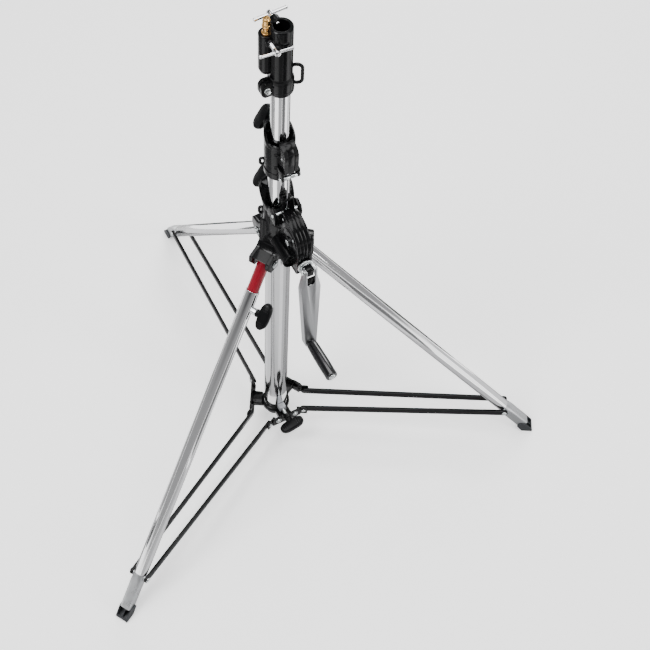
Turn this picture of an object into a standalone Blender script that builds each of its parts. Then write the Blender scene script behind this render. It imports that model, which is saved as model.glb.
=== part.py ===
"""Wind-up (crank) lighting stand: a three-legged column with two telescopic risers.

Metres, +Z up. Leg B points along +X, the winch sits between legs A and B, and every clamp knob on
the column points the opposite way. The pieces are laid out from the column's axis at floor level;
the whole stand then rests on one empty that puts the world origin at its footprint's centre.
"""
import math

import bpy
import bmesh
from mathutils import Matrix, Vector

# ---------------------------------------------------------------- driving dimensions
GAP = 0.0003                 # running and seating gap between separate pieces

AZ_LEG = {"a": -120.0, "b": 0.0, "c": 120.0}     # azimuth of each leg, degrees
AZ_WINCH = -60.0                                 # crank, drum and pulleys
AZ_KNOB = 120.0                                  # riser clamp knobs

# column and risers
COLUMN_R, COLUMN_WALL = 0.025, 0.002
COLUMN_Z = (0.052, 0.790)
RISER_1_R, RISER_1_WALL = 0.021, 0.0015
RISER_1_Z = (0.090, 0.957)
RISER_2_R, RISER_2_WALL = 0.0175, 0.002
RISER_2_Z = (0.110, 1.160)

# tripod: the leg's axis leaves the pivot and meets the floor at FOOT_R
PIVOT_R, PIVOT_Z = 0.046, 0.6646
FOOT_R = 0.588
LEG_R, LEG_WALL = 0.014, 0.0014
LEG_TOP = 0.010              # tube above the pivot
LEG_TUBE_END = 0.740         # distances along the leg, from the pivot
LEG_FITTING_END = 0.806
BRACE_PIN_S = 0.747
LEVEL_TUBE_R, LEVEL_TUBE_END = 0.0122, 0.330
LEVEL_OUTER_START = 0.0686
LEVEL_KNOB_S = 0.106
LEG_ANGLE = math.degrees(math.atan2(FOOT_R - PIVOT_R, PIVOT_Z))   # from the vertical

# clevises that carry the legs
CHEEK_IN, CHEEK_OUT = 0.0150, 0.0220
BOLT_R = 0.004

# brace hub
HUB_PIN_R, HUB_PIN_Z = 0.065, 0.070
HUB_Z = (0.058, 0.070)
PLATE_D = (0.054, 0.0575)    # distance of the three flat plates from the axis
PLATE_HALF, PLATE_TOP = 0.035, 0.083
EAR_T, EAR_ROOT_T = (0.0260, 0.0290), 0.0330
BAR_HALF_T, BAR_HALF_H = 0.0025, 0.0065
BAR_T_HUB, BAR_T_LEG = 0.0230, 0.0180
STUD_R = 0.0035

# winch: wheel and drum on a tangential axle, worm on the radial crank shaft
CASE_HALF = 0.0155
CASE_ARC = (0.057, 0.768, 0.052)                 # centre r, centre z, radius of the round rim
DRUM_AT = (0.074, 0.768)
WHEEL_R, WHEEL_TEETH = 0.026, 24
WORM_R = 0.0125
SHAFT_Z = DRUM_AT[1] - WHEEL_R - WORM_R - 0.0005
SHAFT_R = 0.006
CASE_OUT_R = 0.109
ARM_PIN = (0.1255, SHAFT_Z + 0.004)              # r, z of the crank arm's hinge pin
ARM_LEN, ARM_LEAN = 0.222, 3.0
EAR_HALF = 0.0133            # half width of the arm across the hinge pin
GRIP_R, GRIP_LEN = 0.012, 0.088

# head
HEAD_Z = (1.110, 1.263)
SOCKET_R, SOCKET_FLOOR = 0.0143, 1.165
STUD_AT, BRASS_R = (-0.0248, 0.0), 0.008
STUD_SCREW_Z, SOCKET_SCREW_Z = 1.234, 1.254

RIM = 20                     # facets on tubes and rings
FINE = 12                    # facets on pins and small turned pieces

# colour, metallic, roughness
CHROME = ((0.78, 0.79, 0.80), 1.0, 0.16)
ZINC = ((0.62, 0.66, 0.64), 1.0, 0.32)
STEEL = ((0.55, 0.56, 0.57), 1.0, 0.35)
CASTING = ((0.016, 0.016, 0.018), 0.1, 0.42)
PLASTIC = ((0.020, 0.020, 0.022), 0.0, 0.50)
SHOE = ((0.085, 0.085, 0.090), 0.0, 0.60)
RED = ((0.60, 0.03, 0.035), 0.0, 0.35)
BRASS = ((0.80, 0.55, 0.24), 1.0, 0.28)
NYLON = ((0.75, 0.74, 0.70), 0.0, 0.50)
PAD = ((0.42, 0.43, 0.44), 0.2, 0.75)

# ---------------------------------------------------------------- scene and helpers
for old in list(bpy.data.objects):
    bpy.data.objects.remove(old, do_unlink=True)

PARTS = bpy.data.collections.new("crank_lighting_stand")
TOOLS = bpy.data.collections.new("cutters_and_joined_shapes")
for group in (PARTS, TOOLS):
    bpy.context.scene.collection.children.link(group)

TURN = Matrix.Rotation(math.radians(90), 4, "Y")         # own +Z becomes radial
SIDE = Matrix.Rotation(math.radians(-90), 4, "X")        # own +Z becomes tangential
UPRIGHT = Matrix.Rotation(math.radians(90), 4, "X")      # own XY plane becomes the (r, z) plane
IDENTITY = Matrix.Identity(4)


def at(az=0.0, r=0.0, t=0.0, z=0.0):
    """Frame at azimuth az (degrees): X radial, Y tangential, Z up."""
    return Matrix.Rotation(math.radians(az), 4, "Z") @ Matrix.Translation((r, t, z))


def tilt(degrees):
    """Turn about the tangential axis; positive lowers the radial end."""
    return Matrix.Rotation(math.radians(degrees), 4, "Y")


def leg_frame(key, s=0.0, t=0.0):
    """Frame of a leg: origin at its pivot, own Z down along the leg's axis."""
    return (at(AZ_LEG[key], PIVOT_R, 0, PIVOT_Z) @ tilt(180 - LEG_ANGLE)
            @ Matrix.Translation((0, t, s)))


def material(name, finish):
    colour, metallic, roughness = finish
    mat = bpy.data.materials.new(name)
    mat.use_nodes = True
    shader = mat.node_tree.nodes["Principled BSDF"]
    shader.inputs["Base Color"].default_value = (*colour, 1.0)
    shader.inputs["Metallic"].default_value = metallic
    shader.inputs["Roughness"].default_value = roughness
    mat.diffuse_color = (*colour, 1.0)
    return mat


def add(name, mesh, frame, finish=None):
    """Link a mesh as a part (with a finish) or as a tool (without one)."""
    obj = bpy.data.objects.new(name, mesh)
    obj.matrix_world = frame
    if finish is None:
        TOOLS.objects.link(obj)
        obj.hide_render = True
        obj.display_type = "WIRE"
    else:
        PARTS.objects.link(obj)
        mesh.materials.append(material(name, finish))
    return obj


def smooth(obj, angle=35):
    obj.data.shade_smooth()
    obj.data.set_sharp_from_angle(angle=math.radians(angle))
    return obj


def box(name, x, y, z, frame=IDENTITY, finish=None):
    """Block between the limits given for each of the frame's axes."""
    bm = bmesh.new()
    bmesh.ops.create_cube(bm, size=1.0)
    for v in bm.verts:
        v.co = Vector([lo + (c + 0.5) * (hi - lo) for c, (lo, hi) in zip(v.co, (x, y, z))])
    mesh = bpy.data.meshes.new(name)
    bm.to_mesh(mesh)
    bm.free()
    return add(name, mesh, frame, finish)


def rod(name, radius, z0, z1, frame=IDENTITY, finish=None, sides=FINE, radius_end=None):
    """Round bar along the frame's Z, from z0 to z1."""
    bm = bmesh.new()
    bmesh.ops.create_cone(bm, cap_ends=True, segments=sides, radius1=radius,
                          radius2=radius if radius_end is None else radius_end, depth=z1 - z0)
    bmesh.ops.translate(bm, verts=bm.verts, vec=(0, 0, (z0 + z1) / 2))
    mesh = bpy.data.meshes.new(name)
    bm.to_mesh(mesh)
    bm.free()
    return smooth(add(name, mesh, frame, finish))


def turned(name, profile, frame=IDENTITY, finish=None, sides=FINE, closed=False):
    """Turned shape: profile of (radius, height) that runs down the outer side."""
    mesh = bpy.data.meshes.new(name)
    count = len(profile)
    edges = [(i, i + 1) for i in range(count - 1)] + ([(count - 1, 0)] if closed else [])
    mesh.from_pydata([(r, 0, z) for r, z in profile], edges, [])
    obj = add(name, mesh, frame, finish)
    screw = obj.modifiers.new("turn", "SCREW")
    screw.axis = "Z"
    screw.angle = math.radians(360)
    screw.steps = screw.render_steps = sides
    screw.use_merge_vertices = True
    screw.merge_threshold = 0.00001
    screw.use_smooth_shade = True
    return obj


def ring(name, outer, inner, z0, z1, frame=IDENTITY, finish=None, sides=RIM):
    return turned(name, [(outer, z1), (outer, z0), (inner, z0), (inner, z1)], frame, finish,
                  sides, closed=True)


def prism(name, outlines, low, high, frame=IDENTITY, finish=None):
    """Flat outlines (inner ones are holes) pushed from low to high along the frame's Z."""
    curve = bpy.data.curves.new(name, "CURVE")
    curve.dimensions = "2D"
    curve.fill_mode = "BOTH"
    curve.extrude = (high - low) / 2
    for outline in outlines:
        spline = curve.splines.new("POLY")
        spline.points.add(len(outline) - 1)
        for point, (x, y) in zip(spline.points, outline):
            point.co = (x, y, 0, 1)
        spline.use_cyclic_u = True
    flat = bpy.data.objects.new(name + "_outline", curve)
    TOOLS.objects.link(flat)
    bpy.context.view_layer.update()
    mesh = bpy.data.meshes.new_from_object(flat.evaluated_get(bpy.context.evaluated_depsgraph_get()))
    bpy.data.objects.remove(flat, do_unlink=True)
    mesh.name = name
    mesh.materials.clear()
    bm = bmesh.new()
    bm.from_mesh(mesh)
    bmesh.ops.remove_doubles(bm, verts=bm.verts, dist=0.00001)
    bmesh.ops.translate(bm, verts=bm.verts, vec=(0, 0, (low + high) / 2))
    bmesh.ops.recalc_face_normals(bm, faces=bm.faces)
    bm.to_mesh(mesh)
    bm.free()
    return add(name, mesh, frame, finish)


def boolean(obj, other, operation):
    mod = obj.modifiers.new(other.name, "BOOLEAN")
    mod.operation = operation
    mod.object = other
    mod.solver = "EXACT"
    return obj


def join(obj, *others):
    for other in others:
        boolean(obj, other, "UNION")
    return obj


def cut(obj, *others):
    for other in others:
        boolean(obj, other, "DIFFERENCE")
    return obj


def arc(cx, cy, radius, start, end, steps):
    """Points on an arc, angles in degrees."""
    return [(cx + radius * math.cos(math.radians(start + (end - start) * i / steps)),
             cy + radius * math.sin(math.radians(start + (end - start) * i / steps)))
            for i in range(steps + 1)]


def rounded(half_x, half_y, corner, steps=3):
    """Rounded rectangle about the origin."""
    points = []
    for sx, sy, start in ((1, 1, 0), (-1, 1, 90), (-1, -1, 180), (1, -1, 270)):
        points += arc(sx * (half_x - corner), sy * (half_y - corner), corner, start, start + 90,
                      steps)
    return points


def carried_by(name, frame_point, *objects):
    """Empty on a moving body's joint; its pieces are parented to it where they stand."""
    pivot = bpy.data.objects.new(name, None)
    pivot.empty_display_size = 0.02
    pivot.location = frame_point
    PARTS.objects.link(pivot)
    for obj in objects:
        obj.parent = pivot
        obj.matrix_parent_inverse = Matrix.Translation(-Vector(frame_point))
    return pivot


# ---------------------------------------------------------------- column
ring("base_column", COLUMN_R, COLUMN_R - COLUMN_WALL, *COLUMN_Z, finish=CHROME)
CAP_SPIGOT = COLUMN_R - COLUMN_WALL - GAP
turned("column_cap",
       [(0, 0.066), (CAP_SPIGOT, 0.066), (CAP_SPIGOT, COLUMN_Z[0] - GAP),
        (COLUMN_R, COLUMN_Z[0] - GAP), (COLUMN_R, 0.043), (COLUMN_R - 0.003, 0.040), (0, 0.040)],
       finish=PLASTIC, sides=RIM)
ring("column_bush", COLUMN_R - COLUMN_WALL - GAP, RISER_1_R + GAP, 0.750, COLUMN_Z[1] - GAP,
     finish=NYLON)

# ---------------------------------------------------------------- winch casting
BORE_R = COLUMN_R + GAP
TOP_Z = (0.782, 0.818)
BACK, FRONT, CHEEK_SIDE = -0.034, 0.0415, 0.029
WINDOW_Z = 0.846
casting = turned("winch_casting",
                 [(0.030, TOP_Z[1] - 0.004), (0.030, 0.738), (0.0315, 0.733), (0.0315, 0.690),
                  (0.020, 0.690), (0.020, TOP_Z[1] - 0.004)], closed=True, sides=RIM,
                 finish=CASTING)
join(casting, box("casting_top", (BACK, FRONT), (-CHEEK_SIDE, CHEEK_SIDE), TOP_Z, at(AZ_WINCH)))
join(casting, box("casting_window", (0.0230, FRONT - 0.0006), (-0.0115, 0.0115),
                  (TOP_Z[1] - 0.002, WINDOW_Z), at(AZ_WINCH)))
join(casting, box("casting_pad", (0.024, 0.0342), (-0.0145, 0.0145), (0.700, 0.788),
                  at(AZ_WINCH)))
KNOB_1_Z = 0.802
join(casting, rod("casting_boss", 0.0095, 0.028, 0.047, at(AZ_KNOB, 0, 0, KNOB_1_Z) @ TURN))
for key, azimuth in AZ_LEG.items():
    cheek = [(0.026, 0.760), (0.030, 0.760), (0.068, 0.684), (0.069, 0.670), (0.058, 0.6495),
             (0.034, 0.6495), (0.026, 0.690)]
    for side in (-1, 1):
        low, high = sorted((-side * CHEEK_IN, -side * CHEEK_OUT))
        join(casting, prism(f"cheek_{key}_{side}", [cheek], low, high, at(azimuth) @ UPRIGHT))
    hood = [(0.0255, 0.759), (0.0297, 0.759), (0.0672, 0.6841), (0.0650, 0.6805), (0.0255, 0.7535)]
    join(casting, prism(f"hood_{key}", [hood], -CHEEK_IN - 0.001, CHEEK_IN + 0.001,
                        at(azimuth) @ UPRIGHT))
    cut(casting, rod(f"bolt_hole_{key}", BOLT_R + GAP, -0.03, 0.03,
                     at(azimuth, PIVOT_R, 0, PIVOT_Z) @ SIDE))
cut(casting, rod("column_seat", BORE_R, 0.600, COLUMN_Z[1] + GAP, sides=RIM))
cut(casting, rod("riser_way", RISER_1_R + GAP, 0.700, 0.900, sides=RIM))
cut(casting, rod("knob_hole", 0.004 + GAP, 0.0, 0.060, at(AZ_KNOB, 0, 0, KNOB_1_Z) @ TURN))
PULLEY_AT = (0.0325, 0.806)
cut(casting, box("pulley_slot", (0.0235, 0.060), (-0.0045, 0.0045), (0.7945, 0.900),
                 at(AZ_WINCH)))
cut(casting, rod("pulley_axle_hole", 0.003 + GAP, -0.04, 0.04,
                 at(AZ_WINCH, PULLEY_AT[0], 0, PULLEY_AT[1]) @ SIDE))

# ---------------------------------------------------------------- gear case, two halves
ARC_R, ARC_Z, ARC_RADIUS = CASE_ARC
ARC_START = math.degrees(math.acos((FRONT + 0.001 - ARC_R) / ARC_RADIUS))
case_outline = ([(0.0345, 0.701), (CASE_OUT_R - 0.006, 0.701), (CASE_OUT_R, 0.707)]
                + arc(ARC_R, ARC_Z, ARC_RADIUS, 0, ARC_START, 14)
                + [(FRONT + 0.001, TOP_Z[0] - 0.001), (0.0345, TOP_Z[0] - 0.001)])
CAVITY_T = 0.0130
for name, side in (("gear_case_left", -1), ("gear_case_right", 1)):
    inner, outer = sorted((side * 0.00015, side * CASE_HALF))
    half = prism(name, [case_outline], -outer, -inner, at(AZ_WINCH) @ UPRIGHT, CASTING)
    if side < 0:
        join(half, rod("worm_bulge", 0.0165, 0.0400, 0.1045,
                       at(AZ_WINCH, 0, -0.006, SHAFT_Z) @ TURN, sides=RIM))
        cut(half, box("bulge_trim", (0, 0.2), (-0.00015, 0.05), (0.6, 0.9), at(AZ_WINCH)))
        join(half, rod("axle_boss", 0.010, -0.0185, -0.0140,
                       at(AZ_WINCH, DRUM_AT[0], 0, DRUM_AT[1]) @ SIDE))
    else:
        join(half, box("cable_lug", (0.088, 0.100), (0.0150, 0.0210), (0.770, 0.792),
                       at(AZ_WINCH)))
    cut(half, rod(name + "_wheel_room", WHEEL_R + 0.0015, -CAVITY_T, CAVITY_T,
                  at(AZ_WINCH, DRUM_AT[0], 0, DRUM_AT[1]) @ SIDE, sides=RIM))
    cut(half, rod(name + "_worm_room", WORM_R + 0.001, 0.0525, 0.0965,
                  at(AZ_WINCH, 0, 0, SHAFT_Z) @ TURN, sides=RIM))
    cut(half, rod(name + "_shaft_way", SHAFT_R + GAP, 0.0425, 0.130,
                  at(AZ_WINCH, 0, 0, SHAFT_Z) @ TURN))
    cut(half, rod(name + "_axle_way", 0.005 + GAP, -0.030, 0.030,
                  at(AZ_WINCH, DRUM_AT[0], 0, DRUM_AT[1]) @ SIDE))

axle_frame = at(AZ_WINCH, DRUM_AT[0], 0, DRUM_AT[1]) @ SIDE
turned("drum_axle", [(0, 0.0190), (0.0075, 0.0190), (0.0075, 0.0158), (0.005, 0.0158),
                     (0.005, -0.0188), (0.0075, -0.0188), (0.0075, -0.0215), (0, -0.0215)],
       axle_frame, STEEL)
drum = turned("cable_drum",
              [(0.0245, -0.0058), (0.0245, -0.0068), (0.017, -0.0075), (0.017, -0.0110),
               (0.0245, -0.0117), (0.0245, -0.0127), (0.0053, -0.0127), (0.0053, -0.0058)],
              axle_frame, STEEL, closed=True, sides=RIM)
teeth = []
for i in range(WHEEL_TEETH):
    for share, radius in ((0.0, 0.0235), (0.28, 0.0235), (0.42, WHEEL_R), (0.86, WHEEL_R)):
        angle = 2 * math.pi * (i + share) / WHEEL_TEETH
        teeth.append((radius * math.cos(angle), radius * math.sin(angle)))
wheel = prism("worm_wheel", [teeth, arc(0, 0, 0.0053, 0, 342, 19)], -0.0055, 0.0055, axle_frame,
              BRASS)
carried_by("drum_body", axle_frame.to_translation(), drum, wheel)

# ---------------------------------------------------------------- crank
shaft_frame = at(AZ_WINCH, 0, 0, SHAFT_Z) @ TURN
shaft = rod("crank_shaft", SHAFT_R, 0.0435, 0.1105, shaft_frame, STEEL)
worm_profile = [(SHAFT_R + GAP, 0.0930), (WORM_R - 0.002, 0.0930)]
for i in range(4):
    crest = 0.0880 - 0.0085 * i
    worm_profile += [(WORM_R - 0.002, crest + 0.0010), (WORM_R, crest), (WORM_R, crest - 0.0018),
                     (WORM_R - 0.002, crest - 0.0028)]
worm_profile += [(WORM_R - 0.002, 0.0560), (SHAFT_R + GAP, 0.0560)]
worm = turned("worm", worm_profile, shaft_frame, BRASS, closed=True)
crank_hub = turned("crank_hub",
                   [(0, 0.1160), (0.0120, 0.1160), (0.0165, 0.1148), (0.0165, 0.1115),
                    (0.0150, 0.1100), (SHAFT_R + 0.002, 0.1100), (SHAFT_R + 0.002, 0.1108),
                    (0, 0.1108)], shaft_frame, ZINC, sides=RIM)
PIN_DR = ARM_PIN[0]
join(crank_hub, box("hinge_block", (-0.0095, 0.0115), (-0.0070, 0.0070),
                    (0.1150, PIN_DR + 0.0065), shaft_frame))
cut(crank_hub, rod("hinge_bore", BOLT_R + GAP, -0.03, 0.03,
                   at(AZ_WINCH, ARM_PIN[0], 0, ARM_PIN[1]) @ SIDE))
pin_frame = at(AZ_WINCH, ARM_PIN[0], 0, ARM_PIN[1]) @ SIDE
arm_pin = turned("crank_arm_pin",
                 [(0, 0.0165), (0.0060, 0.0155), (0.0060, 0.0137), (BOLT_R, 0.0137),
                  (BOLT_R, -0.0137), (0.0060, -0.0137), (0.0060, -0.0155), (0, -0.0165)],
                 pin_frame, STEEL)

# pressed channel arm: own X outward, own Y across, own Z up, origin on the hinge pin
arm_frame = at(AZ_WINCH, ARM_PIN[0], 0, ARM_PIN[1]) @ tilt(-ARM_LEAN)
arm_plate = Matrix.Rotation(math.radians(90), 4, "Z") @ Matrix.Rotation(math.radians(90), 4, "X")


def arm_outline(inset):
    top, wide, low = 0.0082 - inset, 0.0205 - inset, 0.0130 - inset
    ear = EAR_HALF - inset
    right = [(low, -ARM_LEN), (wide, -0.048), (wide - 0.002, -0.034), (ear, -0.012),
             (ear, top - 0.004), (ear - 0.002, top)]
    foot = arc(0, -ARM_LEN, low, 180, 360, 8)[1:-1]
    return foot + right + [(-x, y) for x, y in reversed(right)]


arm = prism("crank_arm", [arm_outline(0.0)], -0.0045, 0.0100, arm_frame @ arm_plate, ZINC)
cut(arm, prism("arm_hollow", [arm_outline(0.0025)], -0.020, 0.0075, arm_frame @ arm_plate))
cut(arm, box("arm_slot", (-0.030, 0.030), (-0.0080, 0.0080), (-0.0380, 0.040), arm_frame))
cut(arm, rod("arm_pin_hole", BOLT_R + GAP, -0.04, 0.04, arm_frame @ SIDE))
grip_frame = arm_frame @ Matrix.Translation((0, 0, -ARM_LEN)) @ tilt(ARM_LEAN) @ TURN
cut(arm, rod("grip_hole", 0.005 + GAP, -0.02, 0.03, grip_frame))
GRIP_START = 0.0110
grip_axle = turned("grip_axle",
                   [(0, GRIP_START + GRIP_LEN + 0.0035), (0.0060, GRIP_START + GRIP_LEN + 0.0035),
                    (0.0075, GRIP_START + GRIP_LEN + 0.0015), (0.0075, GRIP_START + GRIP_LEN + GAP),
                    (0.0050, GRIP_START + GRIP_LEN + GAP), (0.0050, 0.0066), (0.0080, 0.0066),
                    (0.0080, 0.0030), (0, 0.0030)], grip_frame, STEEL)
grip_at = arm_frame @ Vector((0, 0, -ARM_LEN))
grip = turned("crank_grip",
              [(GRIP_R - 0.0015, GRIP_START + GRIP_LEN), (GRIP_R, GRIP_START + GRIP_LEN - 0.0015),
               (GRIP_R + 0.0004, GRIP_START + 0.6 * GRIP_LEN), (GRIP_R - 0.001, GRIP_START + 0.002),
               (GRIP_R - 0.002, GRIP_START), (0.0053, GRIP_START),
               (0.0053, GRIP_START + GRIP_LEN)],
              grip_frame, PLASTIC, closed=True, sides=24)
carried_by("crank_body", (0, 0, SHAFT_Z), shaft, worm, crank_hub, arm_pin)
carried_by("crank_arm_body", pin_frame.to_translation(), arm, grip_axle)
carried_by("crank_grip_body", grip_at, grip)

# the stationary pulley in the casting's slot, turned in one piece with its axle
base_pulley = turned("base_pulley",
                     [(0, 0.0310), (0.0022, 0.0310), (0.0030, 0.0302), (0.0030, 0.0035),
                      (0.0085, 0.0035), (0.0085, 0.0025), (0.0065, 0.0010), (0.0065, -0.0010),
                      (0.0085, -0.0025), (0.0085, -0.0035), (0.0030, -0.0035),
                      (0.0030, -0.0302), (0.0022, -0.0310), (0, -0.0310)],
                     at(AZ_WINCH, PULLEY_AT[0], 0, PULLEY_AT[1]) @ SIDE, ZINC)
carried_by("base_pulley_body",
           (at(AZ_WINCH) @ Vector((PULLEY_AT[0], 0, PULLEY_AT[1]))), base_pulley)

# ---------------------------------------------------------------- wing knobs


def wing_knob(name, frame, tip, wing_start, finish=PLASTIC, length=0.0285, roll=0.0):
    """Screw along the frame's Z from tip, with a two-lobed wing that starts at wing_start."""
    knob = rod(name, 0.004, tip, wing_start + 0.004, frame, finish)
    lobes = arc(0, 0, 0.0085, 60, 120, 3) + arc(-length + 0.0072, 0.0010, 0.0068, 100, 260, 4)
    lobes += arc(0, 0, 0.0085, 240, 300, 3) + arc(length - 0.0072, 0.0010, 0.0068, -80, 80, 4)
    spin = frame @ Matrix.Rotation(math.radians(roll), 4, "Z")
    return join(knob, prism(name + "_wing", [lobes], wing_start, wing_start + 0.0200, spin))


# ---------------------------------------------------------------- first riser and its collar
riser_1 = ring("riser_1_tube", RISER_1_R, RISER_1_R - RISER_1_WALL, *RISER_1_Z, finish=CHROME)
foot_1 = turned("riser_1_foot",
                [(RISER_1_R - RISER_1_WALL - GAP, 0.098), (RISER_1_R - RISER_1_WALL - GAP, 0.0897),
                 (CAP_SPIGOT, 0.0897), (CAP_SPIGOT, 0.078), (0.006, 0.078), (0.006, 0.098)],
                finish=NYLON, closed=True, sides=RIM)

KNOB_2_Z = 0.974
collar = turned("riser_1_collar",
                [(0.0285, 0.992), (0.0285, 0.926), (0.0300, 0.921), (0.0300, 0.897),
                 (0.0285, 0.893), (RISER_1_R + GAP, 0.893), (RISER_1_R + GAP, RISER_1_Z[1] + GAP),
                 (RISER_2_R + 0.0005, RISER_1_Z[1] + GAP), (RISER_2_R + 0.0005, 0.992)],
                closed=True, sides=RIM, finish=CASTING)
# raised half wall at the back of the collar's mouth
back_wall = ([(0.0285 * math.cos(math.radians(a)), 0.0285 * math.sin(math.radians(a)))
              for a in range(-80, 81, 16)]
             + [(0.0220 * math.cos(math.radians(a)), 0.0220 * math.sin(math.radians(a)))
                for a in range(80, -81, -16)])
join(collar, prism("collar_wall", [back_wall], 0.984, 1.010, at(AZ_KNOB)))
pulley_case = ([(0.024, 0.9300), (0.0450, 0.9300), (0.0480, 0.938)]
               + arc(0.0280, 0.9750, 0.0205, 0, 95, 8) + [(0.024, 0.9955)])
join(collar, prism("pulley_case", [pulley_case], -0.0140, 0.0140, at(AZ_WINCH) @ UPRIGHT))
for side in (-1, 1):
    low, high = sorted((side * 0.0120, side * 0.0180))
    join(collar, box(f"guide_bracket_{side}", (0.0335, 0.0470), (low, high), (0.9150, 0.9360),
                     at(AZ_WINCH)))
join(collar, rod("collar_boss", 0.0095, 0.024, 0.046, at(AZ_KNOB, 0, 0, KNOB_2_Z) @ TURN))
eye = prism("collar_eye", [rounded(0.0060, 0.0090, 0.0055), rounded(0.0025, 0.0050, 0.0022)],
            -0.0025, 0.0025, at(180, 0.0325, 0, 0.915) @ UPRIGHT)
join(collar, eye)
cut(collar, rod("collar_knob_hole", 0.004 + GAP, 0.0, 0.060, at(AZ_KNOB, 0, 0, KNOB_2_Z) @ TURN))
MID_PULLEY_AT = (0.0355, 0.966)
GUIDE_AT, GUIDE_R = (0.0400, 0.9215), 0.0040
cut(collar, box("collar_pulley_slot", (0.0240, 0.0478), (-0.0055, 0.0055), (0.920, 0.9795),
                at(AZ_WINCH)))
cut(collar, rod("mid_axle_hole", 0.0025 + GAP, -0.030, 0.030,
                at(AZ_WINCH, MID_PULLEY_AT[0], 0, MID_PULLEY_AT[1]) @ SIDE))
cut(collar, rod("guide_hole", GUIDE_R + GAP, -0.030, 0.030,
                at(AZ_WINCH, GUIDE_AT[0], 0, GUIDE_AT[1]) @ SIDE))
mid_pulley = turned("mid_pulley",
                    [(0, 0.0146), (0.0025, 0.0146), (0.0025, 0.0045), (0.0110, 0.0045),
                     (0.0110, 0.0035), (0.0085, 0.0012), (0.0085, -0.0012), (0.0110, -0.0035),
                     (0.0110, -0.0045), (0.0025, -0.0045), (0.0025, -0.0146), (0, -0.0146)],
                    at(AZ_WINCH, MID_PULLEY_AT[0], 0, MID_PULLEY_AT[1]) @ SIDE, STEEL)
guide_pin = rod("guide_pin", GUIDE_R, -0.0205, 0.0205,
                at(AZ_WINCH, GUIDE_AT[0], 0, GUIDE_AT[1]) @ SIDE, ZINC)
carried_by("riser_1_body", (0, 0, RISER_1_Z[0]), riser_1, foot_1, collar, guide_pin)
carried_by("mid_pulley_body",
           at(AZ_WINCH) @ Vector((MID_PULLEY_AT[0], 0, MID_PULLEY_AT[1])), mid_pulley)

# wire rope from the winch casting's window up into the collar's pulley case
rod("lift_cable", 0.0016, 0.8180, 0.9440, at(AZ_WINCH, 0.0330, 0, 0), STEEL, sides=10)

KNOB_ROLL = 31
riser_1_knob = wing_knob("riser_1_knob", at(AZ_KNOB, 0, 0, KNOB_1_Z) @ TURN, 0.0216, 0.0580,
                         roll=KNOB_ROLL)
riser_2_knob = wing_knob("riser_2_knob", at(AZ_KNOB, 0, 0, KNOB_2_Z) @ TURN, 0.0181, 0.0570,
                         roll=KNOB_ROLL)
carried_by("riser_1_knob_body", (0, 0, KNOB_1_Z), riser_1_knob)
carried_by("riser_2_knob_body", (0, 0, KNOB_2_Z), riser_2_knob)

# ---------------------------------------------------------------- second riser and the head
riser_2 = ring("riser_2_tube", RISER_2_R, RISER_2_R - RISER_2_WALL, *RISER_2_Z, finish=CHROME)
foot_2 = turned("riser_2_foot",
                [(RISER_2_R - RISER_2_WALL - GAP, 0.118), (RISER_2_R - RISER_2_WALL - GAP, 0.1097),
                 (RISER_1_R - RISER_1_WALL - GAP, 0.1097), (RISER_1_R - RISER_1_WALL - GAP, 0.1000),
                 (0.005, 0.1000), (0.005, 0.118)], finish=NYLON, closed=True, sides=RIM)
head = turned("head_casting",
              [(0.0190, HEAD_Z[1]), (0.0205, HEAD_Z[1] - 0.002), (0.0205, 1.150), (0.0218, 1.144),
               (0.0235, 1.140), (0.0235, HEAD_Z[0] + 0.003), (0.0220, HEAD_Z[0]),
               (0.010, HEAD_Z[0]), (0.010, HEAD_Z[1])], closed=True, sides=RIM, finish=CASTING)
HOLDER_TOP, HOLDER_LOW = 1.245, 1.152
STUD_SEAT = 1.196
head_at = Matrix.Translation((STUD_AT[0], STUD_AT[1], 0))
holder = rod("stud_holder", 0.0127, HOLDER_LOW + 0.009, HOLDER_TOP, head_at, CASTING, sides=RIM)
join(holder, rod("holder_foot", 0.0060, HOLDER_LOW, HOLDER_LOW + 0.0095, head_at,
                 radius_end=0.0126, sides=RIM))
join(holder, box("holder_web", (-0.0248, -0.0120), (-0.0100, 0.0100),
                 (1.166, HOLDER_TOP - 0.001)))
EAR_AZ, EAR_BOLT = -150.0, (0.0300, 1.128)
join(head, box("clamp_ear", (0.0180, 0.0400), (-0.0085, 0.0085), (1.1105, 1.144), at(EAR_AZ)))
loop = [rounded(0.0125, 0.0250, 0.0110, 5), rounded(0.0065, 0.0190, 0.0060, 5)]
head_loop = prism("head_loop", loop, -0.0030, 0.0030, at(0, 0.0270, 0, 1.151) @ UPRIGHT,
                  CASTING)
STUD_SCREW = Matrix.Translation((*STUD_AT, STUD_SCREW_Z)) @ at(AZ_WINCH) @ TURN
SOCKET_SCREW = at(AZ_KNOB, 0, 0, SOCKET_SCREW_Z) @ TURN
join(holder, rod("stud_screw_boss", 0.0085, 0.006, 0.0185, STUD_SCREW))
join(head, rod("socket_screw_boss", 0.0085, 0.016, 0.0290, SOCKET_SCREW))
for piece in (holder, head_loop):
    cut(piece, turned("barrel_room",
                      [(0, 1.300), (0.0205 + GAP, 1.300), (0.0205 + GAP, 1.1500 + GAP),
                       (0.0218 + GAP, 1.144), (0.0235 + GAP, 1.140), (0.0235 + GAP, 1.100),
                       (0, 1.100)], sides=RIM))
cut(head, box("clamp_slit", (0.010, 0.050), (-0.0010, 0.0010), (1.100, 1.1448), at(EAR_AZ)))
cut(head, rod("ear_bolt_hole", 0.0030 + GAP, -0.03, 0.03,
              at(EAR_AZ, EAR_BOLT[0], 0, EAR_BOLT[1]) @ SIDE))
cut(head, rod("socket_bore", SOCKET_R, SOCKET_FLOOR + 0.0005, 1.300, sides=RIM))
cut(head, rod("riser_seat", RISER_2_R + GAP, 1.000, RISER_2_Z[1] + GAP, sides=RIM))
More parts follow.
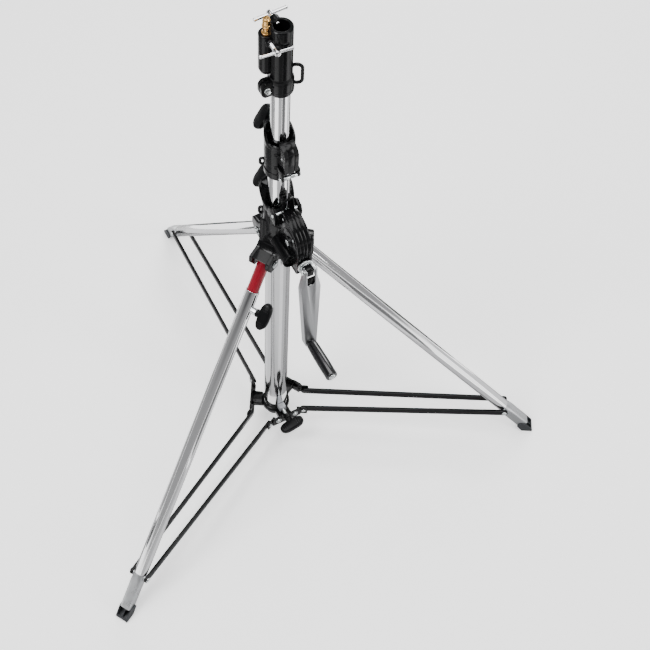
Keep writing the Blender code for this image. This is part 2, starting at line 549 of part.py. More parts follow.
for piece in (head, holder):
    cut(piece, rod("stud_seat", BRASS_R + GAP, STUD_SEAT, 1.300, head_at))
    cut(piece, rod("stud_screw_hole", 0.0045 + GAP, 0.0, 0.050, STUD_SCREW))
cut(head, rod("socket_screw_hole", 0.0045 + GAP, 0.0, 0.050, SOCKET_SCREW))
clamp_bolt = turned("head_clamp_bolt",
                    [(0, 0.0148), (0.0045, 0.0148), (0.0050, 0.0140), (0.0050, 0.0088),
                     (0.0030, 0.0088), (0.0030, -0.0088), (0.0050, -0.0088), (0.0050, -0.0135),
                     (0, -0.0135)], at(EAR_AZ, EAR_BOLT[0], 0, EAR_BOLT[1]) @ SIDE, ZINC)
STUD_TOP = 1.278
brass_stud = turned("brass_stud",
                    [(0, STUD_TOP), (0.0050, STUD_TOP), (0.0068, STUD_TOP - 0.003),
                     (0.0068, STUD_TOP - 0.012), (BRASS_R, STUD_TOP - 0.014),
                     (BRASS_R, STUD_TOP - 0.019), (0.0058, STUD_TOP - 0.022),
                     (0.0058, STUD_TOP - 0.028), (BRASS_R, STUD_TOP - 0.031),
                     (BRASS_R, STUD_SEAT + GAP), (0, STUD_SEAT + GAP)], head_at, BRASS)


CROSS_BAR_R = 0.0031


def t_screw(name, frame, tip, bar_at, roll):
    """Screw along the frame's Z with a cross bar of two separate pieces."""
    screw = turned(name, [(0, bar_at + 0.0066), (0.0050, bar_at + 0.0056),
                          (0.0060, bar_at + 0.0036), (0.0060, bar_at - 0.0045),
                          (0.0045, bar_at - 0.0055), (0.0045, tip + 0.001), (0.0035, tip),
                          (0, tip)], frame, CHROME)
    bar_frame = frame @ Matrix.Rotation(math.radians(roll), 4, "Z") @ Matrix.Translation(
        (0, 0, bar_at)) @ SIDE
    cut(screw, rod(name + "_cross_hole", CROSS_BAR_R + GAP, -0.02, 0.02, bar_frame, sides=12))
    bar = rod(name + "_bar", CROSS_BAR_R, -0.0315, 0.0315, bar_frame, CHROME, sides=12)
    return screw, bar


stud_screw, stud_bar = t_screw("stud_screw", STUD_SCREW, 0.0085, 0.0385, -5)
socket_screw, socket_bar = t_screw("socket_screw", SOCKET_SCREW, 0.0110, 0.0400, -4)
carried_by("riser_2_body", (0, 0, RISER_2_Z[0]), riser_2, foot_2, head, holder,
           head_loop, clamp_bolt, brass_stud)
carried_by("stud_screw_body", STUD_SCREW.to_translation(), stud_screw, stud_bar)
carried_by("socket_screw_body", SOCKET_SCREW.to_translation(), socket_screw, socket_bar)

# ---------------------------------------------------------------- brace hub
hub = ring("brace_hub", 0.0300, 0.0200, *HUB_Z, finish=CASTING)
for azimuth in (AZ_WINCH, AZ_WINCH + 120, AZ_WINCH + 240):
    join(hub, box(f"hub_web_{azimuth:.0f}", (0.026, 0.0560), (-0.0140, 0.0140), HUB_Z,
                  at(azimuth)))
    join(hub, box(f"hub_plate_{azimuth:.0f}", PLATE_D, (-PLATE_HALF, PLATE_HALF),
                  (HUB_Z[0], PLATE_TOP), at(azimuth)))
for key, azimuth in AZ_LEG.items():
    for side in (-1, 1):
        low, high = sorted((side * EAR_T[0], side * EAR_T[1]))
        join(hub, box(f"hub_ear_{key}_{side}", (0.0500, 0.0735), (low, high),
                      (HUB_Z[0], PLATE_TOP), at(azimuth)))
        low, high = sorted((side * (EAR_T[0] + 0.0004), side * EAR_ROOT_T))
        join(hub, box(f"hub_ear_root_{key}_{side}", (0.0510, 0.0563), (low, high),
                      (HUB_Z[0] + 0.0004, PLATE_TOP - 0.0004), at(azimuth)))
    cut(hub, rod(f"hub_stud_hole_{key}", STUD_R + GAP, -0.04, 0.04,
                 at(azimuth, HUB_PIN_R, 0, HUB_PIN_Z) @ SIDE))
HUB_SCREW_Z = 0.0770
hub_screw = at(AZ_WINCH, 0, 0, HUB_SCREW_Z) @ TURN
join(hub, rod("hub_boss", 0.0080, 0.0530, 0.0640, hub_screw))
cut(hub, rod("hub_bore", COLUMN_R + 0.0004, 0.0, 0.2, sides=RIM))
cut(hub, rod("hub_screw_hole", 0.004 + GAP, 0.030, 0.080, hub_screw))
pad = box("hub_pad", (COLUMN_R + GAP, 0.0380), (-0.0075, 0.0075), (HUB_Z[1] + GAP, 0.0850),
          at(AZ_WINCH), PAD)
cut(pad, rod("pad_hollow", COLUMN_R + GAP, 0.0, 0.2, sides=RIM * 2))
hub_knob = wing_knob("hub_knob", hub_screw, 0.0383, 0.0700, roll=105)
carried_by("brace_hub_body", (0, 0, HUB_PIN_Z), hub, pad)
carried_by("hub_knob_body", (0, 0, HUB_SCREW_Z), hub_knob)

# ---------------------------------------------------------------- braces, a pair to each leg
LEG_DIR = math.radians(LEG_ANGLE)
PIN_LEG_R = PIVOT_R + BRACE_PIN_S * math.sin(LEG_DIR)
PIN_LEG_Z = PIVOT_Z - BRACE_PIN_S * math.cos(LEG_DIR)
BAR_LEN = math.hypot(PIN_LEG_R - HUB_PIN_R, PIN_LEG_Z - HUB_PIN_Z)
BAR_RISE = math.degrees(math.atan2(PIN_LEG_Z - HUB_PIN_Z, PIN_LEG_R - HUB_PIN_R))
BAR_YAW = math.degrees(math.asin((BAR_T_HUB - BAR_T_LEG) / BAR_LEN))
FITTING_HALF_T = 0.0120
SPACER_T = BAR_T_LEG - BAR_HALF_T - GAP          # spacers on the fitting meet the bars
TWIST = Matrix.Rotation(math.radians(11), 4, "Z")


def brace(name, key, side):
    """Flat bar with a headed stud formed at each end; own X runs from the hub to the leg."""
    frame = (at(AZ_LEG[key], HUB_PIN_R, 0, HUB_PIN_Z) @ tilt(-BAR_RISE)
             @ Matrix.Translation((0, side * BAR_T_HUB, 0))
             @ Matrix.Rotation(math.radians(-side * BAR_YAW), 4, "Z"))
    ends = (arc(0, 0, BAR_HALF_H, 90, 270, 6) + arc(BAR_LEN, 0, BAR_HALF_H, -90, 90, 6))
    bar = prism(name, [ends], -BAR_HALF_T, BAR_HALF_T, frame @ UPRIGHT, CASTING)
    outward = frame @ (SIDE if side > 0 else UPRIGHT)
    reach = Matrix.Translation((BAR_LEN, 0, 0))
    join(bar, turned(name + "_hub_stud",
                     [(0, 0.0083), (0.0042, 0.0080), (0.0050, 0.0066), (STUD_R, 0.0066),
                      (STUD_R, 0), (0, 0)], outward @ TWIST, sides=8))
    join(bar, turned(name + "_leg_stud",
                     [(0, 0.0045), (0.0045, 0.0040), (0.0055, 0.0020), (0.0055, 0), (0, 0)],
                     frame @ reach @ (SIDE if side > 0 else UPRIGHT) @ TWIST, sides=8))
    return bar


for key in AZ_LEG:
    pair = [brace(f"brace_{key}_{word}", key, side) for word, side in (("left", 1), ("right", -1))]
    carried_by(f"brace_{key}_body", at(AZ_LEG[key]) @ Vector((HUB_PIN_R, 0, HUB_PIN_Z)), *pair)

# ---------------------------------------------------------------- legs
SHOE_OUT, SHOE_REACH = 0.0140, 0.6020
shoe_outline = [(0.5685, 0.0475), (0.5460, 0.0295), (0.5500, 0.0130), (0.5660, 0.0),
                (SHOE_REACH, 0.0), (SHOE_REACH, 0.0340), (0.5940, 0.0440)]


def leg_end(key):
    """Flattened fitting and shoe at a leg's foot."""
    fitting = prism(f"leg_{key}_end", [rounded(0.0130, FITTING_HALF_T, 0.0050)],
                    LEG_TUBE_END + GAP, LEG_FITTING_END, leg_frame(key), ZINC)
    for side in (-1, 1):
        low, high = sorted((side * (FITTING_HALF_T - 0.001), side * SPACER_T))
        join(fitting, rod(f"spacer_{key}_{side}", 0.0060, low, high,
                          leg_frame(key, BRACE_PIN_S) @ SIDE))
    cut(fitting, prism(f"fitting_bore_{key}", [rounded(0.0105, 0.0095, 0.0030)], 0.700, 0.900,
                       leg_frame(key)))
    shoe = prism(f"leg_{key}_shoe", [shoe_outline], -SHOE_OUT, SHOE_OUT,
                 at(AZ_LEG[key]) @ UPRIGHT, SHOE)
    cut(shoe, rod(f"shoe_trim_{key}", 0.05, LEG_FITTING_END - 0.06, LEG_FITTING_END + GAP,
                  leg_frame(key)))
    cut(shoe, box(f"shoe_hollow_{key}", (0.588, 0.61), (-0.0100, 0.0100), (0.006, 0.030),
                  at(AZ_LEG[key])))
    return fitting, shoe


for key in AZ_LEG:
    frame = leg_frame(key)
    fitting, shoe = leg_end(key)
    pivot_point = frame.to_translation()
    turned(f"leg_{key}_bolt",
           [(0, 0.0262), (0.0055, 0.0255), (0.0065, 0.0240), (0.0065, CHEEK_OUT + GAP),
            (BOLT_R, CHEEK_OUT + GAP), (BOLT_R, -CHEEK_OUT - GAP), (0.0065, -CHEEK_OUT - GAP),
            (0.0065, -0.0250), (0.0055, -0.0262), (0, -0.0262)],
           at(AZ_LEG[key], PIVOT_R, 0, PIVOT_Z) @ SIDE, ZINC)
    if key == "a":
        top = ring("leg_a_inner", LEVEL_TUBE_R, LEVEL_TUBE_R - 0.0015, -LEG_TOP, LEVEL_TUBE_END,
                   frame, RED)
        outer = ring("leg_a_tube", LEG_R, LEG_R - LEG_WALL + 0.0001, LEVEL_OUTER_START,
                     LEG_TUBE_END, frame, CHROME)
        knob_frame = leg_frame("a", LEVEL_KNOB_S) @ SIDE
        boss = ring("level_boss", 0.0070, 0.0043, 0.0100, 0.0240, knob_frame, ZINC, sides=FINE)
        cut(boss, rod("boss_saddle", LEG_R + GAP, 0.05, 0.20, frame, sides=RIM))
        level_knob = wing_knob("level_knob", knob_frame, 0.0146, 0.0300, roll=90)
        carried_by("leg_a_body", pivot_point, top)
        carried_by("leg_a_slide_body", pivot_point, outer, fitting, shoe, boss)
        carried_by("level_knob_body", knob_frame.to_translation(), level_knob)
        pivoted = top
    else:
        pivoted = ring(f"leg_{key}_tube", LEG_R, LEG_R - LEG_WALL, -LEG_TOP, LEG_TUBE_END, frame,
                       CHROME)
        carried_by(f"leg_{key}_body", pivot_point, pivoted, fitting, shoe)
    cut(pivoted, rod(f"leg_bolt_way_{key}", BOLT_R + GAP, -0.03, 0.03, frame @ SIDE))

# ---------------------------------------------------------------- footprint's centre to the origin
stand = bpy.data.objects.new("stand", None)
PARTS.objects.link(stand)
for obj in [*PARTS.objects, *TOOLS.objects]:
    if obj.parent is None and obj is not stand:
        obj.parent = stand
BACK_REACH = (SHOE_REACH * math.cos(math.radians(60)) + SHOE_OUT * math.sin(math.radians(60)))
stand.location.x = (BACK_REACH - SHOE_REACH) / 2
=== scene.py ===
"""Looks of the wind-up lighting stand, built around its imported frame. Metres, +Z up."""
from math import acos, asin, atan2, cos, degrees, hypot, pi, radians, sin, sqrt

import bmesh
import bpy
from mathutils import Matrix, Vector


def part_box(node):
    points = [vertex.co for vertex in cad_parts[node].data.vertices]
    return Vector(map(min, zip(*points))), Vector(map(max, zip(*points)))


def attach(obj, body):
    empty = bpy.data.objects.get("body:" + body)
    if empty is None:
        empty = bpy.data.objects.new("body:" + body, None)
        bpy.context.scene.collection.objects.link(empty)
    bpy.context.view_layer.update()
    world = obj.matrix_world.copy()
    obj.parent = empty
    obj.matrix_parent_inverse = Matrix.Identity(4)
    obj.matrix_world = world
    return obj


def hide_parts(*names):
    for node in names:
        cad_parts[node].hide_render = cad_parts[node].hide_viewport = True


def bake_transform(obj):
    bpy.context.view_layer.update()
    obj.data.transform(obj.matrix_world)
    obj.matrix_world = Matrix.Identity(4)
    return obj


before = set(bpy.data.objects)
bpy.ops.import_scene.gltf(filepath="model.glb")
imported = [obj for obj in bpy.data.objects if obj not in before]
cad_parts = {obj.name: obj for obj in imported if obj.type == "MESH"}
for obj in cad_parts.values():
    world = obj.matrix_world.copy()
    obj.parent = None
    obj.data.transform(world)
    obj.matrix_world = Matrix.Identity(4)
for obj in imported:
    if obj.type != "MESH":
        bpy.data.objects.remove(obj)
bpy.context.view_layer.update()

# ---------------------------------------------------------------- where things are
low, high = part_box("base_column")
COLUMN_X = (low[0] + high[0]) / 2            # the column's axis stands at this X, and at Y = 0
COLUMN_R = (high[0] - low[0]) / 2
AZ_LEG = {"a": -120.0, "b": 0.0, "c": 120.0}
AZ_WINCH, AZ_KNOB = -60.0, 120.0
GAP = 0.0003

RISER_1_R, RISER_2_R = 0.021, 0.0175
PIVOT_R, PIVOT_Z, FOOT_R = 0.046, 0.6646, 0.588
LEG_R, LEG_TOP, LEG_TUBE_END, LEG_FITTING_END = 0.014, 0.01, 0.74, 0.827
BRACE_PIN_S, LEVEL_KNOB_S = 0.747, 0.106
LEVEL_TUBE_R, LEVEL_TUBE_END, LEVEL_OUTER_START = 0.0122, 0.33, 0.0686
LEG_ANGLE = degrees(atan2(FOOT_R - PIVOT_R, PIVOT_Z))
CHEEK_IN, CHEEK_OUT = 0.015, 0.022
HUB_PIN_R, HUB_PIN_Z = 0.065, 0.07
HUB_LOW, HUB_HIGH, PLATE_TOP, HUB_KNOB_Z = 0.058, 0.07, 0.083, 0.077
BAR_T_HUB, BAR_T_LEG = 0.023, 0.018
DRUM_R, DRUM_Z = 0.074, 0.768
SHAFT_Z = DRUM_Z - 0.039
ARM_PIN_R, ARM_PIN_Z = 0.1255, SHAFT_Z + 0.004
ARM_LEN, ARM_LEAN, ARM_TOP = 0.222, 3.0, 0.0082
HEAD_LOW, HEAD_TOP = 1.11, 1.263
KNOB_1_Z, KNOB_2_Z = 0.802, 0.974
STUD_SCREW_Z, SOCKET_SCREW_Z = 1.234, 1.254
STUD_X = -0.0248

TURN = Matrix.Rotation(radians(90), 4, "Y")         # own +Z becomes radial
SIDE = Matrix.Rotation(radians(-90), 4, "X")        # own +Z becomes tangential
UPRIGHT = Matrix.Rotation(radians(90), 4, "X")      # own XY plane becomes the (r, z) plane
IDENTITY = Matrix.Identity(4)


def at(az=0.0, r=0.0, t=0.0, z=0.0):
    """Frame round the column at azimuth az (degrees): X radial, Y tangential, Z up."""
    return move(COLUMN_X) @ roll(az) @ move(r, t, z)


def tilt(angle):
    return Matrix.Rotation(radians(angle), 4, "Y")


def roll(angle):
    return Matrix.Rotation(radians(angle), 4, "Z")


def move(x=0.0, y=0.0, z=0.0):
    return Matrix.Translation((x, y, z))


def leg_frame(key, s=0.0, t=0.0):
    """Frame of a leg: origin at its pivot, own Z down along the leg's axis."""
    return at(AZ_LEG[key], PIVOT_R, 0, PIVOT_Z) @ tilt(180 - LEG_ANGLE) @ move(0, t, s)


# ---------------------------------------------------------------- materials
def node(tree, kind, **inputs):
    made = tree.nodes.new(kind)
    for name, value in inputs.items():
        made.inputs[name.replace("_", " ")].default_value = value
    return made


def surface(name, colour, metallic, roughness, grain=0.0, grain_size=900.0, tone=0.0, spread=0.0,
            stretch=(1, 1, 1), coat=0.0, wear_and_sheen=0.0, specular=0.5):
    """Principled material whose colour, roughness and relief vary with noise of real size."""
    mat = bpy.data.materials.new(name)
    mat.use_nodes = True
    tree = mat.node_tree
    shader = tree.nodes["Principled BSDF"]
    shader.inputs["Metallic"].default_value = metallic
    shader.inputs["Coat Weight"].default_value = coat
    shader.inputs["Coat Roughness"].default_value = 0.08
    shader.inputs["Specular IOR Level"].default_value = specular
    place = node(tree, "ShaderNodeTexCoord")
    scale = node(tree, "ShaderNodeMapping", Scale=stretch)
    tree.links.new(place.outputs["Object"], scale.inputs["Vector"])
    patches = node(tree, "ShaderNodeTexNoise", Scale=38.0, Detail=4.0, Roughness=0.6)
    tree.links.new(scale.outputs["Vector"], patches.inputs["Vector"])
    shades = tree.nodes.new("ShaderNodeValToRGB")
    shades.color_ramp.elements[0].position, shades.color_ramp.elements[1].position = 0.3, 0.7
    shades.color_ramp.elements[0].color = (*[c * (1 - tone) for c in colour], 1)
    shades.color_ramp.elements[1].color = (*[min(1, c * (1 + tone)) for c in colour], 1)
    tree.links.new(patches.outputs["Fac"], shades.inputs["Fac"])
    paint = shades.outputs["Color"]
    # Sharp convex edges (Pointiness) are painted lighter: partly rubbed paint, partly a painted highlight
    # along the edges.
    if wear_and_sheen:
        edges = node(tree, "ShaderNodeNewGeometry")
        worn_and_sheen_mask = node(tree, "ShaderNodeMapRange", From_Min=0.52, From_Max=0.62, To_Max=wear_and_sheen)
        tree.links.new(edges.outputs["Pointiness"], worn_and_sheen_mask.inputs["Value"])
        rubbed_and_sheen_mix = tree.nodes.new("ShaderNodeMix")
        rubbed_and_sheen_mix.data_type = "RGBA"
        rubbed_and_sheen_mix.inputs[7].default_value = (*[min(1, c * 2.2 + 0.1) for c in colour], 1)
        tree.links.new(worn_and_sheen_mask.outputs["Result"], rubbed_and_sheen_mix.inputs["Factor"])
        tree.links.new(paint, rubbed_and_sheen_mix.inputs[6])
        paint = rubbed_and_sheen_mix.outputs[2]
    tree.links.new(paint, shader.inputs["Base Color"])
    rough = node(tree, "ShaderNodeMapRange", From_Min=0.3, From_Max=0.7,
                 To_Min=max(0.02, roughness - spread), To_Max=roughness + spread)
    tree.links.new(patches.outputs["Fac"], rough.inputs["Value"])
    tree.links.new(rough.outputs["Result"], shader.inputs["Roughness"])
    if grain:
        fine = node(tree, "ShaderNodeTexNoise", Scale=grain_size, Detail=3.0, Roughness=0.55)
        tree.links.new(scale.outputs["Vector"], fine.inputs["Vector"])
        relief = node(tree, "ShaderNodeBump", Strength=grain, Distance=0.0002)
        tree.links.new(fine.outputs["Fac"], relief.inputs["Height"])
        tree.links.new(relief.outputs["Normal"], shader.inputs["Normal"])
    return mat


CHROME = surface("polished_chrome", (0.82, 0.82, 0.83), 1.0, 0.085, 0.02, 500, 0.02, 0.02)
BRUSHED = surface("leg_chrome", (0.82, 0.82, 0.83), 1.0, 0.1, 0.03, 400, 0.02, 0.03, stretch=(1, 1, 0.2))
ZINC = surface("bright_zinc", (0.72, 0.75, 0.75), 1.0, 0.26, 0.1, 700, 0.06, 0.06)
PLATE = surface("zinc_plate", (0.44, 0.445, 0.455), 1.0, 0.32, 0.1, 600, 0.03, 0.04)
STEEL = surface("turned_steel", (0.56, 0.57, 0.58), 1.0, 0.3, 0.1, 700, 0.04, 0.06)
# The blacks below get lighter sharp edges: partly rubbed paint, partly painted highlight.
CASTING = surface("black_powder_coat", (0.0018, 0.0019, 0.0022), 0.0, 0.25, 0.2, 1500, 0.15, 0.05,
                  wear_and_sheen=0.06, specular=0.07, coat=0.2)
PLASTIC = surface("grained_plastic", (0.002, 0.0022, 0.0025), 0.0, 0.32, 0.3, 1900, 0.15, 0.05,
                  wear_and_sheen=0.06, specular=0.12)
GRIP = surface("smooth_plastic", (0.004, 0.004, 0.005), 0.0, 0.16, 0.03, 300, 0.1, 0.03, coat=0.4)
BAR = surface("black_bar_paint", (0.002, 0.0022, 0.0025), 0.0, 0.22, 0.15, 900, 0.2, 0.05, wear_and_sheen=0.08,
              specular=0.12)
SHOE = surface("shoe_rubber", (0.022, 0.024, 0.027), 0.0, 0.5, 0.4, 1300, 0.15, 0.08, wear_and_sheen=0.1,
               specular=0.3)
RED = surface("red_enamel", (0.25, 0.004, 0.016), 0.25, 0.2, 0.05, 500, 0.06, 0.03, coat=0.3)
BRASS = surface("turned_brass", (0.76, 0.44, 0.15), 1.0, 0.18, 0.1, 900, 0.05, 0.04)
NYLON = surface("nylon", (0.74, 0.73, 0.69), 0.0, 0.5, 0.2, 900, 0.04, 0.05)
PAD = surface("clamp_pad", (0.3, 0.31, 0.33), 0.0, 0.62, 0.7, 1400, 0.16, 0.1)
ROPE = surface("wire_rope", (0.45, 0.45, 0.46), 1.0, 0.38, 0.8, 1500, 0.2, 0.08)


# ---------------------------------------------------------------- mesh helpers
def placed(name, data):
    """New object in the scene."""
    obj = bpy.data.objects.new(name, data)
    bpy.context.scene.collection.objects.link(obj)
    return obj


def arc(cx, cy, radius, start, end, steps):
    """Points on an arc, angles in degrees."""
    return [(cx + radius * cos(radians(start + (end - start) * i / steps)),
             cy + radius * sin(radians(start + (end - start) * i / steps)))
            for i in range(steps + 1)]


def hole(cx, cy, radius):
    return arc(cx, cy, radius, 0, 345, 23)


def rounded(half_x, half_y, corner, steps=6):
    points = []
    for sx, sy, start in ((1, 1, 0), (-1, 1, 90), (-1, -1, 180), (1, -1, 270)):
        points += arc(sx * (half_x - corner), sy * (half_y - corner), corner, start, start + 90, steps)
    return points


def softened(profile, size, steps=3):
    """A closed profile with each corner cut into a small curve."""
    out = []
    count = len(profile)
    for i, point in enumerate(profile):
        here = Vector(point)
        before, after = Vector(profile[i - 1]) - here, Vector(profile[(i + 1) % count]) - here
        reach = min(size, before.length * 0.45, after.length * 0.45)
        start, end = here + before.normalized() * reach, here + after.normalized() * reach
        for k in range(steps + 1):
            f = k / steps
            out.append(tuple((1 - f) ** 2 * start + 2 * f * (1 - f) * here + f * f * end))
    return out


def span(side, near, far):
    """Low and high end of a stretch that lies on one side of a middle plane."""
    return sorted((side * near, side * far))


class Shape:
    """Gathers closed bodies into one piece."""

    def __init__(self):
        self.bm = bmesh.new()

    def take(self, bm, place):
        bmesh.ops.recalc_face_normals(bm, faces=bm.faces)
        bm.transform(place)
        mesh = bpy.data.meshes.new("part")
        bm.to_mesh(mesh)
        bm.free()
        self.bm.from_mesh(mesh)
        bpy.data.meshes.remove(mesh)
        return self

    def turn(self, profile, place=IDENTITY, sides=64, soft=0.0004, start=0.0, sweep=360.0):
        """Ring turned from a closed profile of (radius, height)."""
        points = softened(profile, soft) if soft else list(profile)
        bm = bmesh.new()
        full = sweep >= 360
        rings = []
        for i in range(sides if full else sides + 1):
            a = radians(start + sweep * i / sides)
            rings.append([bm.verts.new((r * cos(a), r * sin(a), z)) for r, z in points])
        for i in range(sides):
            one, two = rings[i], rings[(i + 1) % len(rings)]
            for j in range(len(points)):
                k = (j + 1) % len(points)
                bm.faces.new((one[j], two[j], two[k], one[k]))
        if not full:
            bm.faces.new(rings[0])
            bm.faces.new(list(reversed(rings[-1])))
        return self.take(bm, place)

    def ring(self, outer, inner, low, high, place=IDENTITY, sides=64, soft=0.0004):
        """Washer or sleeve between two radii and two heights."""
        return self.turn([(outer, high), (outer, low), (inner, low), (inner, high)], place, sides, soft)

    def spindle(self, profile, place=IDENTITY, sides=48, soft=0.0004):
        """Solid turned from an open profile of (radius, height) off the axis, with flat ends."""
        first, last = profile[0], profile[-1]
        inner = softened([(0, first[1])] + list(profile) + [(0, last[1])], soft)
        points = [p for p in inner if p[0] > 0.00002]
        bm = bmesh.new()
        rings = [[bm.verts.new((r * cos(2 * pi * i / sides), r * sin(2 * pi * i / sides), z))
                  for r, z in points] for i in range(sides)]
        for i in range(sides):
            one, two = rings[i], rings[(i + 1) % sides]
            for j in range(len(points) - 1):
                bm.faces.new((one[j], two[j], two[j + 1], one[j + 1]))
        bm.faces.new([ring[0] for ring in rings])
        bm.faces.new([ring[-1] for ring in reversed(rings)])
        return self.take(bm, place)

    def plate(self, outlines, low, high, place=IDENTITY, bevel=0.0005):
        """Flat outlines (inner ones are holes) with thickness and softened edges."""
        curve = bpy.data.curves.new("outline", "CURVE")
        curve.dimensions = "2D"
        curve.fill_mode = "BOTH"
        curve.extrude = (high - low) / 2
        for outline in outlines:
            spline = curve.splines.new("POLY")
            spline.points.add(len(outline) - 1)
            for point, (x, y) in zip(spline.points, outline):
                point.co = (x, y, 0, 1)
            spline.use_cyclic_u = True
        flat = placed("outline", curve)
        bpy.context.view_layer.update()
        mesh = bpy.data.meshes.new_from_object(flat.evaluated_get(bpy.context.evaluated_depsgraph_get()))
        bpy.data.objects.remove(flat, do_unlink=True)
        bm = bmesh.new()
        bm.from_mesh(mesh)
        bpy.data.meshes.remove(mesh)
        bmesh.ops.remove_doubles(bm, verts=bm.verts, dist=0.00001)
        bmesh.ops.translate(bm, verts=bm.verts, vec=(0, 0, (low + high) / 2))
        bmesh.ops.dissolve_limit(bm, angle_limit=0.001, verts=bm.verts, edges=bm.edges)
        bmesh.ops.recalc_face_normals(bm, faces=bm.faces)
        return self.bevelled(bm, place, bevel)

    def bevelled(self, bm, place, bevel, angle=28):
        if bevel:
            sharp = [e for e in bm.edges if len(e.link_faces) == 2
                     and e.calc_face_angle(0) > radians(angle)]
            bmesh.ops.bevel(bm, geom=sharp, offset=bevel, segments=2, profile=0.6, affect="EDGES",
                            clamp_overlap=True)
        return self.take(bm, place)

    def block(self, x, y, z, place=IDENTITY, bevel=0.0008):
        bm = bmesh.new()
        bmesh.ops.create_cube(bm, size=1.0)
        for v in bm.verts:
            v.co = Vector([lo + (c + 0.5) * (hi - lo) for c, (lo, hi) in zip(v.co, (x, y, z))])
        return self.bevelled(bm, place, bevel)

    def loft(self, sections, place=IDENTITY, closed=False):
        """Skin over rings of points that all have the same count."""
        bm = bmesh.new()
        rings = [[bm.verts.new(p) for p in section] for section in sections]
        count = len(rings[0])
        for i in range(len(rings) if closed else len(rings) - 1):
            one, two = rings[i], rings[(i + 1) % len(rings)]
            for j in range(count):
                k = (j + 1) % count
                bm.faces.new((one[j], one[k], two[k], two[j]))
        if not closed:
            bm.faces.new(list(reversed(rings[0])))
            bm.faces.new(rings[-1])
        return self.take(bm, place)

    def bar_loop(self, path, half_w, half_t, place=IDENTITY, sides=16):
        """Closed bar of rounded section swept round a flat path of (x, y)."""
        sections = []
        count = len(path)
        for i, (x, y) in enumerate(path):
            ahead = Vector(path[(i + 1) % count]) - Vector(path[i - 1])
            out = Vector((ahead.y, -ahead.x)).normalized()
            sections.append([(x + out.x * half_w * cos(a), y + out.y * half_w * cos(a), half_t * sin(a))
                             for a in [2 * pi * k / sides for k in range(sides)]])
        return self.loft(sections, place, closed=True)

    def hex_head(self, across, low, high, place=IDENTITY):
        """Hexagon head with a turned-off crown."""
        corner = across / sqrt(3)
        return self.plate([arc(0, 0, corner, 0, 300, 5)], low, high, place, bevel=0.0004)

    def piece(self, name, mat, body, *nodes, angle=38, slot=None):
        """One object from all that was gathered; it rides on a body and stands for CAD nodes."""
        mesh = bpy.data.meshes.new(name)
        self.bm.to_mesh(mesh)
        self.bm.free()
        mesh.materials.append(mat)
        mesh.shade_smooth()
        mesh.set_sharp_from_angle(angle=radians(angle))
        obj = placed(name, mesh)
        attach(obj, body)
        if nodes:
            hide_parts(*nodes)
        return obj


def tube(name, node_name, body, radius, wall, z0, z1, place=IDENTITY, mat=None, sides=72):
    shape = Shape().ring(radius, radius - wall, z0, z1, place, sides, soft=0.0005)
    return shape.piece(name, mat or CHROME, body, node_name)


def mouth(shape, place, radius, throat, foot_z, low_z, high_z, flare):
    """Mouth of a casting: its rim is a saddle, high round the knob and low on the far side."""
    ring = []
    for i in range(72):
        around = 5 * i
        away = min(around, 360 - around)
        fall = min(1.0, max(0.0, (away - 40) / 75))
        up = 0.5 + 0.5 * cos(pi * fall)
        top, out = low_z + (high_z - low_z) * up, flare * up
        profile = softened([(radius, foot_z), (radius + out, top - 0.003), (radius + out - 0.0004, top),
                            (radius + out - 0.004, top), (throat, max(foot_z + 0.004, top - 0.012)),
                            (throat, foot_z)], 0.0008)
        turn = radians(around)
        ring.append([(r * cos(turn), r * sin(turn), z) for r, z in profile])
    shape.loft(ring, place, closed=True)


# ---------------------------------------------------------------- column, risers
AXIS = at()
tube("column_tube", "base_column", "base", COLUMN_R, 0.002, low[2], high[2], AXIS)
tube("riser_1_tube_skin", "riser_1_tube", "riser_1", RISER_1_R, 0.0015, 0.09, 0.957, AXIS)
tube("riser_2_tube_skin", "riser_2_tube", "riser_2", RISER_2_R, 0.002, 0.11, 1.16, AXIS)

cap = Shape().spindle([(0.0222, 0.04), (COLUMN_R, 0.043), (COLUMN_R, 0.0517), (0.0227, 0.0517),
                       (0.0227, 0.066)], AXIS, soft=0.0008)
for i in range(6):
    cap.block((0.007, 0.019), (-0.0012, 0.0012), (0.0388, 0.0405), AXIS @ roll(60 * i), 0.0003)
cap.piece("column_cap_moulding", PLASTIC, "base", "column_cap")

# ---------------------------------------------------------------- winch casting
sleeve = Shape()
sleeve.turn([(0.03, 0.797), (0.03, 0.742), (0.0315, 0.736), (0.0315, 0.69), (0.0253, 0.69),
             (0.0253, 0.7903), (0.0213, 0.7903), (0.0213, 0.797)], AXIS, 72, 0.0008)
mouth(sleeve, at(AZ_KNOB), 0.03, 0.0214, 0.792, 0.806, 0.842, 0.009)
WINCH = at(AZ_WINCH)
CASE = WINCH @ UPRIGHT
# skirts between the leg forks
for azimuth in AZ_LEG.values():
    sleeve.turn([(0.0315, 0.692), (0.0315, 0.656), (0.0302, 0.652), (0.0253, 0.652), (0.0253, 0.692)],
                AXIS, 20, 0.0008, start=azimuth + 30, sweep=60)
# lugs beside the window, which carry the pulley's axle
for side in (-1, 1):
    sleeve.plate([softened([(0.01, 0.788), (0.03, 0.782), (0.04, 0.788), (0.0415, 0.8), (0.038, 0.811),
                            (0.024, 0.819), (0.012, 0.808)], 0.002)],
                 *span(-side, 0.0228, 0.029), CASE, 0.001)
for low_t, high_t in ((-0.0285, -0.0047), (0.0047, 0.0285)):
    sleeve.plate([[(0.0218, 0.784), (0.0405, 0.784), (0.0405, 0.798), (0.0218, 0.809)]], low_t, high_t,
                 CASE, 0.0008)
